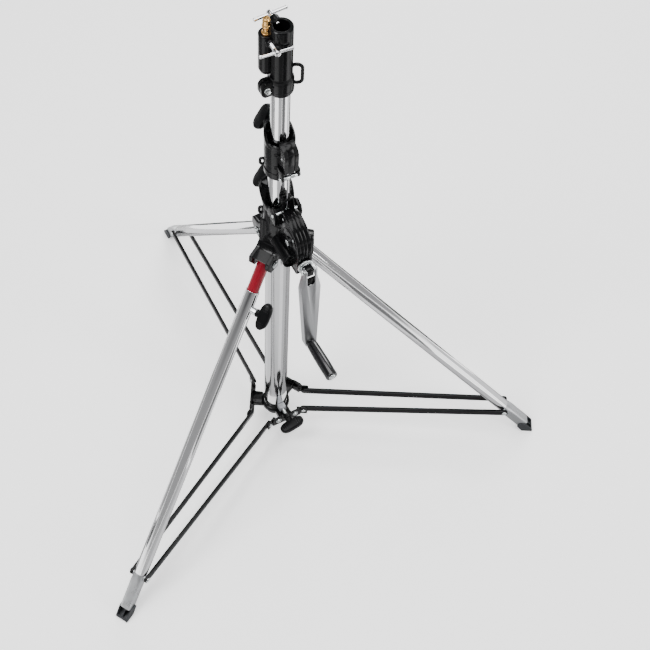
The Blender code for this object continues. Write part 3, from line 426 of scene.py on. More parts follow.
# square window with a raised frame over the pulley
frame_out, frame_in = rounded(0.0118, 0.015, 0.0018), rounded(0.0088, 0.0118, 0.0012)
WINDOW = WINCH @ move(0.0378, 0, 0.8295) @ tilt(-12) @ TURN @ roll(90)
sleeve.plate([frame_out, frame_in], -0.003, 0.0024, WINDOW, 0.0006)
for side in (-1, 1):
    sleeve.block((0.0222, 0.036), span(side, 0.0048, 0.0113), (0.812, 0.8435), WINCH, 0.0008)
sleeve.block((0.0222, 0.0262), (-0.011, 0.011), (0.826, 0.844), WINCH, 0.0006)
sleeve.ring(0.0095, 0.0044, 0.026, 0.047, at(AZ_KNOB, 0, 0, KNOB_1_Z) @ TURN, 40, 0.0008)
for side in (-1, 1):
    sleeve.plate([[(0.024, 0.776), (0.044, 0.793), (0.044, 0.811), (0.024, 0.815)]],
                 *span(side, 0.006, 0.01), at(AZ_KNOB) @ UPRIGHT, 0.0008)
# seat of the gear case
sleeve.block((0.025, 0.034), (-0.0145, 0.0145), (0.7, 0.787), WINCH, 0.0012)
# tie eye
sleeve.bar_loop(rounded(0.0052, 0.009, 0.0048), 0.003, 0.003, at(180, 0.0315, 0, 0.77) @ UPRIGHT)
for azimuth in AZ_LEG.values():
    fork = at(azimuth) @ UPRIGHT
    bolt_hole = hole(PIVOT_R, PIVOT_Z, 0.0043)
    brow = [(0.0262, 0.764), (0.03, 0.76), (0.0318, 0.72), (0.035, 0.7), (0.045, 0.69), (0.069, 0.686)]
    cheek = softened(brow + [(0.07, 0.668), (0.0585, 0.6495), (0.034, 0.6495), (0.0262, 0.69)], 0.003, 3)
    for side in (-1, 1):
        sleeve.plate([cheek, bolt_hole], *span(-side, CHEEK_IN, CHEEK_OUT), fork, 0.0008)
        sleeve.plate([hole(PIVOT_R, PIVOT_Z, 0.0092), bolt_hole], *span(-side, 0.02, 0.0226), fork, 0.0004)
    under = [(0.0672, 0.6826), (0.044, 0.6862), (0.0322, 0.696), (0.029, 0.718), (0.0262, 0.756)]
    sleeve.plate([softened(brow + under, 0.0015, 2)], -CHEEK_IN - 0.0015, CHEEK_IN + 0.0015, fork, 0.0006)
    sleeve.plate([[(0.0262, 0.752), (0.0262, 0.7), (0.031, 0.7), (0.031, 0.725)]], -0.0022, 0.0022, fork,
                 0.0004)
sleeve.piece("casting_body", CASTING, "base", "winch_casting")

pins = Shape()
PULLEY_AXLE = at(AZ_WINCH, 0.0325, 0, 0.806) @ SIDE
pins.spindle([(0.0024, -0.031), (0.0036, -0.03), (0.0036, -0.0235), (0.0024, -0.0235)], PULLEY_AXLE, 32)
pins.spindle([(0.0024, 0.0235), (0.0036, 0.0235), (0.0036, 0.03), (0.0024, 0.031)], PULLEY_AXLE, 32)
pins.spindle([(0.003, -0.024), (0.003, -0.0036), (0.0085, -0.0036), (0.0085, -0.0025), (0.0062, -0.0008),
              (0.0062, 0.0008), (0.0085, 0.0025), (0.0085, 0.0036), (0.003, 0.0036), (0.003, 0.024)],
             PULLEY_AXLE, 48)
pins.piece("base_pulley_turned", ZINC, "base_pulley", "base_pulley")

for key, azimuth in AZ_LEG.items():
    bolt = Shape()
    axle = at(azimuth, PIVOT_R, 0, PIVOT_Z) @ SIDE
    bolt.spindle([(0.0038, -0.024), (0.0038, 0.025)], axle, 32)
    bolt.ring(0.0082, 0.0036, 0.0227, 0.0236, axle, 40, 0.0002)
    bolt.ring(0.0082, 0.0036, -0.0236, -0.0227, axle, 40, 0.0002)
    bolt.hex_head(0.0115, 0.0236, 0.0266, axle)
    bolt.hex_head(0.0115, -0.0266, -0.0236, axle)
    bolt.piece(f"leg_{key}_pivot_bolt", ZINC, "base", f"leg_{key}_bolt")

# ---------------------------------------------------------------- gear case
ARC_R, ARC_Z, ARC_RADIUS, CASE_OUT_R, SCREW_RING = 0.057, 0.768, 0.052, 0.109, 0.0415


def case_outline(inset):
    radius = ARC_RADIUS - inset
    start = degrees(acos((0.0425 - ARC_R) / radius))
    return ([(0.0348, 0.7015 + inset), (CASE_OUT_R - 0.006, 0.7015 + inset), (CASE_OUT_R - inset, 0.708)]
            + arc(ARC_R, ARC_Z, radius, 0, start, 28) + [(0.0425, 0.7815), (0.0348, 0.7815)])


def case_spot(angle):
    """Middle of a screw that holds the case's halves together."""
    return at(AZ_WINCH, ARC_R + SCREW_RING * cos(radians(angle)), 0,
              ARC_Z + SCREW_RING * sin(radians(angle)))


for name, side in (("left", -1), ("right", 1)):
    half = Shape()
    half.plate([case_outline(0.0016)], *span(-side, 0.0002, 0.0146), CASE, 0.001)
    for near, far in ((0.0004, 0.0066), (0.0078, 0.0154)):
        half.plate([case_outline(0.0 if far > 0.015 else 0.0004), case_outline(0.006)],
                   *span(-side, near, far), CASE, 0.0007)
    # raised rim round the drum's axle
    half.plate([arc(DRUM_R, DRUM_Z, 0.029, 0, 352, 44), arc(DRUM_R, DRUM_Z, 0.0265, 0, 352, 44)],
               *span(-side, 0.014, 0.0157), CASE, 0.0004)
    boss_face = at(AZ_WINCH, DRUM_R, 0, DRUM_Z) @ (SIDE if side > 0 else UPRIGHT)
    half.turn([(0.011, 0.0176), (0.0125, 0.014), (0.006, 0.014), (0.006, 0.0176)], boss_face, 48, 0.0008)
    for angle in (35, 100, 165):
        half.turn([(0.0048, 0.0168), (0.0054, 0.014), (0.003, 0.014), (0.003, 0.0168)],
                  case_spot(angle) @ (SIDE if side > 0 else UPRIGHT), 32, 0.0005)
    if side < 0:
        housing = at(AZ_WINCH, 0, -0.0185, SHAFT_Z) @ TURN
        half.spindle([(0.0138, 0.031), (0.0155, 0.0325), (0.0155, 0.086), (0.0146, 0.088)],
                     housing, 56, 0.001)
        half.ring(0.0168, 0.0138, 0.085, 0.0905, housing, 56, 0.0006)
        half.plate([[(0.0362, 0.748), (0.042, 0.748), (0.095, 0.744), (0.095, 0.7405), (0.042, 0.744),
                     (0.0362, 0.744)]], 0.014, 0.0164, CASE, 0.0006)
    else:
        half.plate([softened([(0.088, 0.768), (0.104, 0.768), (0.104, 0.792), (0.0965, 0.798),
                              (0.088, 0.792)], 0.002)], -0.0212, -0.014, CASE, 0.001)
        half.block((0.088, 0.102), (0.013, 0.0195), (0.703, 0.716), WINCH, 0.001)
    half.piece(f"gear_case_{name}_shell", CASTING, "base", f"gear_case_{name}")

screws = Shape()
for angle in (35, 100, 165):
    for turn_to in (SIDE, UPRIGHT):
        spot = case_spot(angle) @ turn_to
        screws.ring(0.0028, 0.0014, 0.0145, 0.0172, spot, 24, 0.0003)
        screws.spindle([(0.0018, 0.0143), (0.0018, 0.016)], spot, 24, 0.0002)
axle_frame = at(AZ_WINCH, DRUM_R, 0, DRUM_Z) @ SIDE
screws.spindle([(0.005, -0.018), (0.005, 0.018)], axle_frame, 40)
screws.hex_head(0.012, 0.0177, 0.0206, axle_frame)
screws.hex_head(0.012, -0.0212, -0.0177, axle_frame)
screws.piece("gear_case_screws", ZINC, "base", "drum_axle")
lug_bolt = Shape()
lug_frame = at(AZ_WINCH, 0.095, 0.0165, 0.71) @ TURN
lug_bolt.spindle([(0.0045, 0.006), (0.0045, 0.009), (0.0032, 0.0105)], lug_frame, 32)
lug_bolt.ring(0.0062, 0.004, 0.0068, 0.0078, lug_frame, 32, 0.0002)
lug_bolt.piece("gear_case_lug_bolt", ZINC, "base")

# ---------------------------------------------------------------- crank
shaft_frame = at(AZ_WINCH, 0, 0, SHAFT_Z) @ TURN
hub = Shape()
hub.spindle([(0.008, 0.1096), (0.0148, 0.1102), (0.0165, 0.1118), (0.0165, 0.1146), (0.0135, 0.1158)],
            shaft_frame, 64, 0.0005)
hub.ring(0.0118, 0.006, 0.115, 0.1172, shaft_frame, 48, 0.0005)
pin_frame = at(AZ_WINCH, ARM_PIN_R, 0, ARM_PIN_Z) @ SIDE
tongue = softened([(-0.0105, -0.014), (0.0066, -0.014), (0.0066, 0.004), (0.003, 0.0068),
                   (-0.0105, 0.0068)], 0.003, 4)
hub.piece("crank_hub_turned", ZINC, "crank", "crank_hub")
neck = Shape().plate([tongue, hole(0, 0, 0.0043)], -0.007, 0.007,
                     at(AZ_WINCH, ARM_PIN_R, 0, ARM_PIN_Z) @ UPRIGHT, 0.0006)
neck.piece("crank_hub_tongue", CASTING, "crank")
pin = Shape()
pin.spindle([(0.004, -0.0138), (0.0062, -0.0138), (0.0062, -0.015), (0.0042, -0.0164)],
            pin_frame, 32, 0.0005)
pin.spindle([(0.004, -0.015), (0.004, 0.015)], pin_frame, 32)
pin.spindle([(0.0062, 0.0138), (0.0062, 0.015), (0.0042, 0.0164)], pin_frame, 32, 0.0005)
pin.piece("crank_arm_rivet", ZINC, "crank", "crank_arm_pin")

arm_axes = at(AZ_WINCH, ARM_PIN_R, 0, ARM_PIN_Z) @ tilt(-ARM_LEAN)
arm_frame = arm_axes @ roll(90) @ UPRIGHT        # X across the arm, Y up along it, Z outward


def arm_outline(inset, notch=()):
    """Outline of the arm's face, with a notch cut into its top."""
    wide, foot, ear, top = 0.0205 - inset, 0.013 - inset, 0.0133 - inset, ARM_TOP - inset
    right = [(foot, -ARM_LEN), (wide, -0.05), (wide - 0.0003, -0.044), (wide - 0.0018, -0.036),
             (ear + 0.001, -0.016), (ear, -0.01), (ear, top - 0.003), (ear - 0.003, top)]
    return (arc(0, -ARM_LEN, foot, 180, 360, 14)[1:-1] + right + list(notch)
            + [(-x, y) for x, y in reversed(right)])


arm = Shape()
slot_half = 0.008
slot_edge = [(slot_half, ARM_TOP)] + arc(0, -0.03, slot_half, 0, -180, 12) + [(-slot_half, ARM_TOP)]
arm.plate([arm_outline(0.0, slot_edge)], 0.0076, 0.01, arm_frame, 0.0005)
# turned-down flanges, open over the slot at the top
for side in (-1, 1):
    outer, inner = [sorted([(side * x, y) for x, y in edge if x >= 0 and y < 0.006], key=lambda p: p[1])
                    for edge in (arm_outline(0.0), arm_outline(0.0024))]
    arm.plate([outer + inner[::-1]], -0.0045, 0.0085, arm_frame, 0.0005)
arm.piece("crank_arm_pressing", PLATE, "crank_arm", "crank_arm")
# Dark plate behind the slot, in the black casting colour: painted shade that stands for the shadowed
# inside of the arm seen through the slot.
shade_plate_frame = arm_frame @ move(0, -0.029, 0)
shade_plate = Shape().plate([rounded(0.014, 0.011, 0.002)], 0.004, 0.006, shade_plate_frame, 0.0004)
shade_plate.piece("crank_arm_painted_shade", CASTING, "crank_arm")

GRIP_START, GRIP_LEN = 0.011, 0.088
GRIP_END = GRIP_START + GRIP_LEN
grip_frame = arm_axes @ move(0, 0, -ARM_LEN) @ tilt(ARM_LEAN) @ TURN
grip = Shape()
grip.turn([(0.0108, GRIP_END), (0.012, GRIP_END - 0.0014), (0.0124, GRIP_END - 0.03),
           (0.0122, GRIP_END - 0.055), (0.0113, GRIP_START + 0.006), (0.0104, GRIP_START),
           (0.0054, GRIP_START), (0.0054, GRIP_END - 0.004), (0.0082, GRIP_END - 0.004),
           (0.0082, GRIP_END)], grip_frame, 72, 0.0008)
grip.piece("crank_grip_sleeve", GRIP, "crank_grip", "crank_grip")
stem = Shape()
stem.spindle([(0.0078, 0.0032), (0.0078, 0.0064), (0.005, 0.0066), (0.005, GRIP_END - 0.003),
              (0.0074, GRIP_END - 0.003), (0.0074, GRIP_END + 0.0006), (0.0052, GRIP_END + 0.0022)],
             grip_frame, 40, 0.0004)
stem.piece("grip_axle_turned", ZINC, "crank_arm", "grip_axle")


# ---------------------------------------------------------------- wing knobs
def wing_knob(name, body, place, tip, wing_start, turned, boss_end):
    """Moulded thumb wing on a threaded screw."""
    spin = place @ roll(turned)
    wing = Shape()
    half = [(0.0056, -0.001), (0.018, 0), (0.0266, 0.0044), (0.0286, 0.0096), (0.0278, 0.0146),
            (0.0222, 0.0206), (0.012, 0.0232)]
    outline = half + [(-x, y) for x, y in reversed(half)]
    sections = []
    for depth, shrink in ((-0.0078, 0.0034), (-0.0069, 0.0014), (-0.0048, 0.0003), (-0.0014, 0.0),
                          (0.0014, 0.0), (0.0048, 0.0003), (0.0069, 0.0014), (0.0078, 0.0034)):
        centre = Vector((0, 0.0112))
        ring = []
        for p in softened(outline, 0.004, 4):
            v = Vector(p) - centre
            v *= max(0.2, (v.length - shrink) / v.length)
            ring.append(((v + centre).x, depth, wing_start + (v + centre).y))
        sections.append(ring)
    wing.loft(sections, spin)
    for side in (-1, 1):
        for across in (0.013, 0.0175, 0.022):
            wing.block((side * across - 0.0006, side * across + 0.0006), (-0.0082, 0.0082),
                       (wing_start + 0.005, wing_start + 0.0176), spin, 0.0004)
    neck = boss_end + 0.0008
    wing.spindle([(0.008, neck), (0.0086, neck + 0.0015), (0.0068, wing_start - 0.0002),
                  (0.0062, wing_start + 0.004)], spin, 40, 0.0006)
    wing.piece(name, PLASTIC, body, body)
    screw = Shape()
    threads = [(0.003, tip)]
    turns = max(3, int((neck - tip) / 0.0012))
    for i in range(turns):
        z = tip + (neck - tip) * (i + 0.5) / turns
        threads += [(0.004, z - 0.0002), (0.0036, z + 0.0004)]
    screw.spindle(threads + [(0.0036, neck + 0.001)], spin, 24, 0.0)
    screw.piece(name + "_screw", ZINC, body)


KNOB_ROLL, HUB_KNOB_ROLL, LEVEL_KNOB_ROLL = 31, 105, 90
HUB_SCREW = at(AZ_WINCH, 0, 0, HUB_KNOB_Z) @ TURN
wing_knob("riser_1_wing", "riser_1_knob", at(AZ_KNOB, 0, 0, KNOB_1_Z) @ TURN,
          0.0216, 0.0568, KNOB_ROLL, 0.047)
wing_knob("riser_2_wing", "riser_2_knob", at(AZ_KNOB, 0, 0, KNOB_2_Z) @ TURN,
          0.0181, 0.0535, KNOB_ROLL, 0.0455)
wing_knob("hub_wing", "hub_knob", HUB_SCREW, 0.0383, 0.0708, HUB_KNOB_ROLL, 0.064)
wing_knob("level_wing", "level_knob", leg_frame("a", LEVEL_KNOB_S) @ SIDE,
          0.0146, 0.031, LEVEL_KNOB_ROLL, 0.024)

# ---------------------------------------------------------------- first riser's collar
MID_PULLEY_Z, GUIDE_Z, COLLAR_LOW = 0.966, 0.9215, 0.893

collar = Shape()
collar.turn([(0.0285, 0.982), (0.0285, 0.912), (0.029, 0.909), (0.0288, COLLAR_LOW + 0.003),
             (0.0276, COLLAR_LOW), (0.0213, COLLAR_LOW), (0.0213, 0.9573), (0.018, 0.9573), (0.018, 0.97),
             (0.0215, 0.975), (0.0215, 0.982)], AXIS, 72, 0.0008)
mouth(collar, at(AZ_KNOB), 0.0287, 0.0215, 0.976, 0.984, 1.01, 0.0008)
collar.ring(0.0298, 0.028, 0.9085, 0.911, AXIS, 72, 0.0006)


def pulley_outline(inset):
    return ([(0.0245, 0.93 + inset), (0.044 - inset, 0.93 + inset), (0.0482 - inset, 0.938)]
            + arc(0.028, 0.975, 0.0205 - inset, 0, 95, 18) + [(0.0245, 0.9955 - inset)])


for side in (-1, 1):
    collar.plate([pulley_outline(0.0014)], *span(-side, 0.0057, 0.0134), CASE, 0.0008)
    collar.plate([pulley_outline(0.0), pulley_outline(0.005)], *span(-side, 0.007, 0.0141), CASE, 0.0006)
    # ears that carry the guide pin
    collar.plate([softened([(0.027, 0.913), (0.0455, 0.913), (0.0476, 0.918), (0.047, 0.938),
                            (0.027, 0.938)], 0.0024)], *span(-side, 0.0142, 0.0182), CASE, 0.0008)
# back of the case above the slot
back = [(0.047, 0.934)] + arc(0.028, 0.975, 0.0192, 0, 95, 18)
back += [(0.0245, 0.9945), (0.0245, 0.9805), (0.0445, 0.9805), (0.045, 0.934)]
collar.plate([back], -0.0062, 0.0062, CASE, 0.0004)
collar.ring(0.0095, 0.0044, 0.024, 0.046, at(AZ_KNOB, 0, 0, KNOB_2_Z) @ TURN, 40, 0.0008)
for side in (-1, 1):
    collar.plate([[(0.024, 0.944), (0.043, 0.965), (0.043, 0.982), (0.024, 1.002)]],
                 *span(side, 0.0062, 0.0098), at(AZ_KNOB) @ UPRIGHT, 0.0008)
collar.bar_loop(rounded(0.0042, 0.0078, 0.0039), 0.0027, 0.003, at(180, 0.031, 0, 0.915) @ UPRIGHT)
COLLAR_SCREWS = [at(azimuth, 0, 0, z) @ TURN for azimuth in (-98, -22) for z in (0.965, 0.93)]
for spot in COLLAR_SCREWS:
    collar.turn([(0.0046, 0.0298), (0.0052, 0.0265), (0.003, 0.0265), (0.003, 0.0298)], spot, 28, 0.0005)
collar.piece("collar_body", CASTING, "riser_1", "riser_1_collar")
collar_screws = Shape()
for spot in COLLAR_SCREWS:
    collar_screws.ring(0.0028, 0.0014, 0.027, 0.0302, spot, 28, 0.0004)
    collar_screws.spindle([(0.0018, 0.0268), (0.0018, 0.029)], spot, 24, 0.0002)
collar_screws.piece("collar_screws", CASTING, "riser_1")

guide = Shape()
guide_frame = at(AZ_WINCH, 0.042, 0, GUIDE_Z - 0.0035) @ SIDE
guide.spindle([(0.003, -0.019), (0.003, 0.019)], guide_frame, 32)
for lo, hi in ((-0.0205, -0.0184), (0.0184, 0.0205), (-0.0138, -0.002), (0.002, 0.0138)):
    guide.spindle([(0.0042, lo), (0.0044, (lo + hi) / 2), (0.0042, hi)], guide_frame, 32, 0.0004)
guide.piece("guide_pin_turned", ZINC, "riser_1", "guide_pin")
pulley = Shape()
pulley.spindle([(0.0025, -0.0146), (0.0025, -0.0047), (0.011, -0.0047), (0.011, -0.0036),
                (0.0084, -0.001), (0.0084, 0.001), (0.011, 0.0036), (0.011, 0.0047), (0.0025, 0.0047),
                (0.0025, 0.0146)], at(AZ_WINCH, 0.0355, 0, MID_PULLEY_Z) @ SIDE, 56, 0.0003)
pulley.piece("mid_pulley_turned", STEEL, "mid_pulley", "mid_pulley")

# ---------------------------------------------------------------- wire rope
rope_low, rope_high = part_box("lift_cable")
ROPE_R = 0.00055
rope = Shape()
rope_frame = at(AZ_WINCH, 0.033, 0, 0)
for strand in range(6):
    sections = []
    for i in range(61):
        z = rope_low[2] + (rope_high[2] - rope_low[2]) * i / 60
        a = radians(60 * strand) + (z - rope_low[2]) / 0.012 * 2 * pi
        cx, cy = 0.001 * cos(a), 0.001 * sin(a)
        sections.append([(cx + ROPE_R * cos(b), cy + ROPE_R * sin(b), z)
                         for b in [radians(60 * k) for k in range(6)]])
    rope.loft(sections, rope_frame)
rope.spindle([(0.0007, rope_low[2]), (0.0007, (rope_low[2] + rope_high[2]) / 2), (0.0007, rope_high[2])],
             rope_frame, 10, 0.0)
cable = rope.piece("wire_rope", ROPE, "base", "lift_cable")
cable.parent = None
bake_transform(cable)

# ---------------------------------------------------------------- head
head = Shape()
head.turn([(0.0188, HEAD_TOP), (0.0205, HEAD_TOP - 0.0018), (0.0205, 1.15), (0.0222, 1.1455),
           (0.0235, 1.14), (0.0235, HEAD_LOW + 0.004), (0.0218, HEAD_LOW), (0.0178, HEAD_LOW),
           (0.0178, 1.16), (0.01, 1.165), (0.0143, 1.1655), (0.0143, HEAD_TOP - 0.0008),
           (0.015, HEAD_TOP)], AXIS, 80, 0.0005)
head.ring(0.0211, 0.019, 1.147, 1.149, AXIS, 72, 0.0005)
head.ring(0.0238, 0.022, 1.118, 1.1215, AXIS, 72, 0.0006)
HOLDER = AXIS @ move(STUD_X, 0, 0)
head.turn([(0.0128, 1.2455), (0.014, 1.244), (0.014, 1.164), (0.011, 1.156), (0.006, 1.152),
           (0.004, 1.152), (0.004, 1.1955), (0.0083, 1.196), (0.0083, 1.245), (0.0088, 1.2455)],
          HOLDER, 56, 0.0006)
head.spindle([(0.0045, 1.1521), (0.0045, 1.195)], HOLDER, 24, 0.0)
for side in (-1, 1):
    head.block((STUD_X, -0.012), span(side, 0.0085, 0.0112), (1.166, 1.2435), AXIS, 0.001)
head.block((-0.0155, -0.0145), (-0.009, 0.009), (1.166, 1.2435), AXIS, 0.0003)
EAR, EAR_BOLT_Z = at(-150), 1.128
for side in (-1, 1):
    ear = softened([(0.02, 1.111), (0.034, 1.111), (0.04, 1.118), (0.04, 1.136), (0.0345, 1.144),
                    (0.02, 1.144)], 0.0035, 4)
    head.plate([ear, hole(0.03, EAR_BOLT_Z, 0.0033)], *span(-side, 0.0011, 0.0086), EAR @ UPRIGHT, 0.001)
    head.plate([hole(0.03, EAR_BOLT_Z, 0.0066), hole(0.03, EAR_BOLT_Z, 0.0033)],
               *span(side, 0.008, 0.0088), EAR @ UPRIGHT, 0.0003)
head.bar_loop(rounded(0.0096, 0.0221, 0.009, 8), 0.0032, 0.0033, at(0, 0.027, 0, 1.151) @ UPRIGHT)
STUD_SCREW = AXIS @ move(STUD_X, 0, STUD_SCREW_Z) @ roll(AZ_WINCH) @ TURN
SOCKET_SCREW = at(AZ_KNOB, 0, 0, SOCKET_SCREW_Z) @ TURN
head.turn([(0.008, 0.019), (0.0088, 0.0172), (0.0088, 0.0105), (0.0049, 0.0105), (0.0049, 0.019)],
          STUD_SCREW, 40, 0.0006)
head.turn([(0.0084, 0.0294), (0.0092, 0.0276), (0.0092, 0.0165), (0.0049, 0.0165), (0.0049, 0.0294)],
          SOCKET_SCREW, 40, 0.0006)
head.piece("head_body", CASTING, "riser_2", "head_casting", "stud_holder", "head_loop")

bolt = Shape()
bolt_frame = at(-150, 0.03, 0, EAR_BOLT_Z) @ SIDE
bolt.spindle([(0.003, -0.012), (0.003, 0.012)], bolt_frame, 24)
bolt.ring(0.0056, 0.0028, 0.0088, 0.0096, bolt_frame, 32, 0.0002)
bolt.hex_head(0.0085, 0.0096, 0.0148, bolt_frame)
bolt.hex_head(0.0085, -0.0136, -0.0088, bolt_frame)
bolt.piece("head_bolt", ZINC, "riser_2", "head_clamp_bolt")

STUD_TOP = 1.278
stud = Shape()
stud.spindle([(0.0078, 1.1965), (0.008, STUD_TOP - 0.031), (0.0074, STUD_TOP - 0.0296),
              (0.0058, STUD_TOP - 0.027), (0.0058, STUD_TOP - 0.0222), (0.0074, STUD_TOP - 0.0194),
              (0.008, STUD_TOP - 0.0185), (0.008, STUD_TOP - 0.0145), (0.007, STUD_TOP - 0.0125),
              (0.0068, STUD_TOP - 0.0035), (0.0052, STUD_TOP)], HOLDER, 56, 0.0005)
stud.ring(0.0086, 0.007, 1.245, 1.2475, HOLDER, 56, 0.0004)
stud.piece("brass_spigot", BRASS, "riser_2", "brass_stud")


def t_screw(name, place, tip, bar_at, turned):
    """T-handled screw; its thread shows between the boss and the cross bar."""
    screw = Shape()
    profile = [(0.0034, tip), (0.0044, tip + 0.001)]
    turns = int((bar_at - 0.008 - tip) / 0.0012)
    for i in range(turns):
        z = tip + 0.0014 + i * 0.0012
        profile += [(0.0045, z), (0.0041, z + 0.0006)]
    profile += [(0.0043, bar_at - 0.0066), (0.006, bar_at - 0.005), (0.006, bar_at + 0.0038),
                (0.0044, bar_at + 0.0062)]
    screw.spindle(profile, place, 32, 0.0002)
    screw.piece(name + "_turned", CHROME, name, name)
    bar = Shape()
    bar_frame = place @ roll(turned) @ move(0, 0, bar_at) @ SIDE
    bar.spindle([(0.0026, -0.0315), (0.0034, -0.0306), (0.0034, -0.0285), (0.003, -0.0278),
                 (0.003, 0.0278), (0.0034, 0.0285), (0.0034, 0.0306), (0.0026, 0.0315)],
                bar_frame, 32, 0.0003)
    bar.piece(name + "_cross_bar", CHROME, name, name + "_bar")


t_screw("stud_screw", STUD_SCREW, 0.0085, 0.0385, -5)
t_screw("socket_screw", SOCKET_SCREW, 0.011, 0.04, -4)

# ---------------------------------------------------------------- brace hub
base_hub = Shape()
base_hub.turn([(0.031, HUB_HIGH - 0.002), (0.0315, HUB_LOW), (0.0254, HUB_LOW), (0.0254, HUB_HIGH),
               (0.0285, HUB_HIGH)], AXIS, 64, 0.001)
for azimuth in (AZ_WINCH, AZ_WINCH + 120, AZ_WINCH + 240):
    spoke = at(azimuth)
    base_hub.block((0.0285, 0.056), (-0.0135, 0.0135), (HUB_LOW, HUB_HIGH - 0.003), spoke, 0.0016)
    for t in (-0.0152, 0.0124):
        base_hub.plate([softened([(0.027, HUB_LOW), (0.056, HUB_LOW), (0.056, PLATE_TOP - 0.003),
                                  (0.048, HUB_HIGH + 0.002), (0.03, HUB_HIGH)], 0.002)], -t - 0.0028, -t,
                       spoke @ UPRIGHT, 0.0006)
    base_hub.plate([softened([(-0.035, HUB_LOW), (0.035, HUB_LOW), (0.035, PLATE_TOP - 0.004),
                              (0.031, PLATE_TOP), (0.015, PLATE_TOP), (0.011, PLATE_TOP - 0.0025),
                              (-0.011, PLATE_TOP - 0.0025), (-0.015, PLATE_TOP), (-0.031, PLATE_TOP),
                              (-0.035, PLATE_TOP - 0.004)], 0.0015)],
                   0.053, 0.0573, spoke @ TURN @ roll(90), 0.0008)
    # gusset blocks on the outer wall, which carry the ears
    for side in (-1, 1):
        base_hub.block((0.0465, 0.056), span(side, 0.015, 0.034), (HUB_LOW, HUB_HIGH), spoke, 0.0014)
for key, azimuth in AZ_LEG.items():
    for side in (-1, 1):
        ear = softened([(0.049, HUB_LOW), (0.0725, HUB_LOW), (0.0735, HUB_LOW + 0.004),
                        (0.0735, PLATE_TOP - 0.003), (0.07, PLATE_TOP), (0.049, PLATE_TOP)], 0.002)
        base_hub.plate([ear, hole(HUB_PIN_R, HUB_PIN_Z, 0.0038)], *span(-side, 0.0268, 0.0296),
                       at(azimuth) @ UPRIGHT, 0.0005)
        base_hub.block((0.049, 0.0562), span(side, 0.0268, 0.0345),
                       (HUB_LOW + 0.0005, PLATE_TOP - 0.0005), at(azimuth), 0.001)
base_hub.turn([(0.0072, 0.064), (0.008, 0.0625), (0.008, 0.053), (0.0044, 0.053), (0.0044, 0.064)],
              HUB_SCREW, 40, 0.0006)
base_hub.piece("brace_hub_pressing", CASTING, "brace_hub", "brace_hub")
nuts = Shape()
for side in (-1, 1):
    spot = at(AZ_WINCH, 0, side * 0.021, 0.0735) @ TURN
    nuts.ring(0.0066, 0.003, 0.0574, 0.0582, spot, 32, 0.0002)
    nuts.spindle([(0.005, 0.0578), (0.0048, 0.06), (0.0026, 0.0612)], spot, 32, 0.0004)
nuts.piece("hub_rivets", ZINC, "brace_hub")
pad = Shape()
pad.plate([arc(0, 0, 0.038, -11.4, 11.4, 8) + arc(0, 0, 0.0254, 17.1, -17.1, 12)], 0.0704, 0.085,
          at(AZ_WINCH), 0.0007)
pad.piece("hub_pad_moulding", PAD, "brace_hub", "hub_pad")

# ---------------------------------------------------------------- braces
LEG_DIR = radians(LEG_ANGLE)
PIN_LEG_R = PIVOT_R + BRACE_PIN_S * sin(LEG_DIR)
PIN_LEG_Z = PIVOT_Z - BRACE_PIN_S * cos(LEG_DIR)
BAR_LEN = hypot(PIN_LEG_R - HUB_PIN_R, PIN_LEG_Z - HUB_PIN_Z)
BAR_RISE = degrees(atan2(PIN_LEG_Z - HUB_PIN_Z, PIN_LEG_R - HUB_PIN_R))
BAR_YAW = degrees(asin((BAR_T_HUB - BAR_T_LEG) / BAR_LEN))
BAR_HALF, BAR_THICK = 0.0078, 0.0033
for key, azimuth in AZ_LEG.items():
    for word, side in (("left", 1), ("right", -1)):
        place = (at(azimuth, HUB_PIN_R, 0, HUB_PIN_Z) @ tilt(-BAR_RISE) @ move(0, side * BAR_T_HUB, 0)
                 @ roll(-side * BAR_YAW))
        bar = Shape()
        ends = arc(0, 0, BAR_HALF, 90, 270, 14) + arc(BAR_LEN, 0, BAR_HALF, -90, 90, 14)
        bar.plate([ends], -BAR_THICK, BAR_THICK, place @ UPRIGHT, 0.0014)
        outward = SIDE if side > 0 else UPRIGHT
        bar.spindle([(0.0035, 0.0), (0.0035, 0.0068)], place @ outward, 24, 0.0)
        bar.piece(f"brace_{key}_{word}_bar", BAR, f"brace_{key}", f"brace_{key}_{word}")
        heads = Shape()
        heads.spindle([(0.0049, 0.0067), (0.0047, 0.0076), (0.0028, 0.0084)], place @ outward, 32, 0.0004)
        heads.spindle([(0.0056, 0.0031), (0.0053, 0.0044), (0.003, 0.0054)],
                      place @ move(BAR_LEN, 0, 0) @ outward, 32, 0.0004)
        heads.piece(f"brace_{key}_{word}_rivets", ZINC, f"brace_{key}")

# ---------------------------------------------------------------- legs
SHOE_HALF = 0.0142


def fitting(key, body):
    """Tube end pressed from round to a flat-sided box, with spacers for the braces."""
    shape = Shape()
    count = 12
    sections = []
    for i in range(count + 1):
        f = i / count
        s = LEG_TUBE_END + GAP + (LEG_FITTING_END - LEG_TUBE_END - GAP) * f
        blend = min(1.0, f * 2.2)
        ring = []
        for k in range(48):
            a = 2 * pi * k / 48
            c, d = cos(a), sin(a)
            power = 2 + 5 * blend
            radius = 1 / ((abs(c) / (0.0136 - 0.0006 * blend)) ** power
                          + (abs(d) / (0.0136 - 0.0016 * blend)) ** power) ** (1 / power)
            ring.append((radius * c, radius * d, s))
        sections.append(ring)
    shape.loft(sections, leg_frame(key))
    for side in (-1, 1):
        shape.spindle([(0.006, 0.011), (0.006, 0.0144)],
                      leg_frame(key, BRACE_PIN_S) @ (SIDE if side > 0 else UPRIGHT), 32, 0.0004)
    shape.piece(f"leg_{key}_pressed_end", STEEL, body, f"leg_{key}_end", slot="zinc_plated_steel")


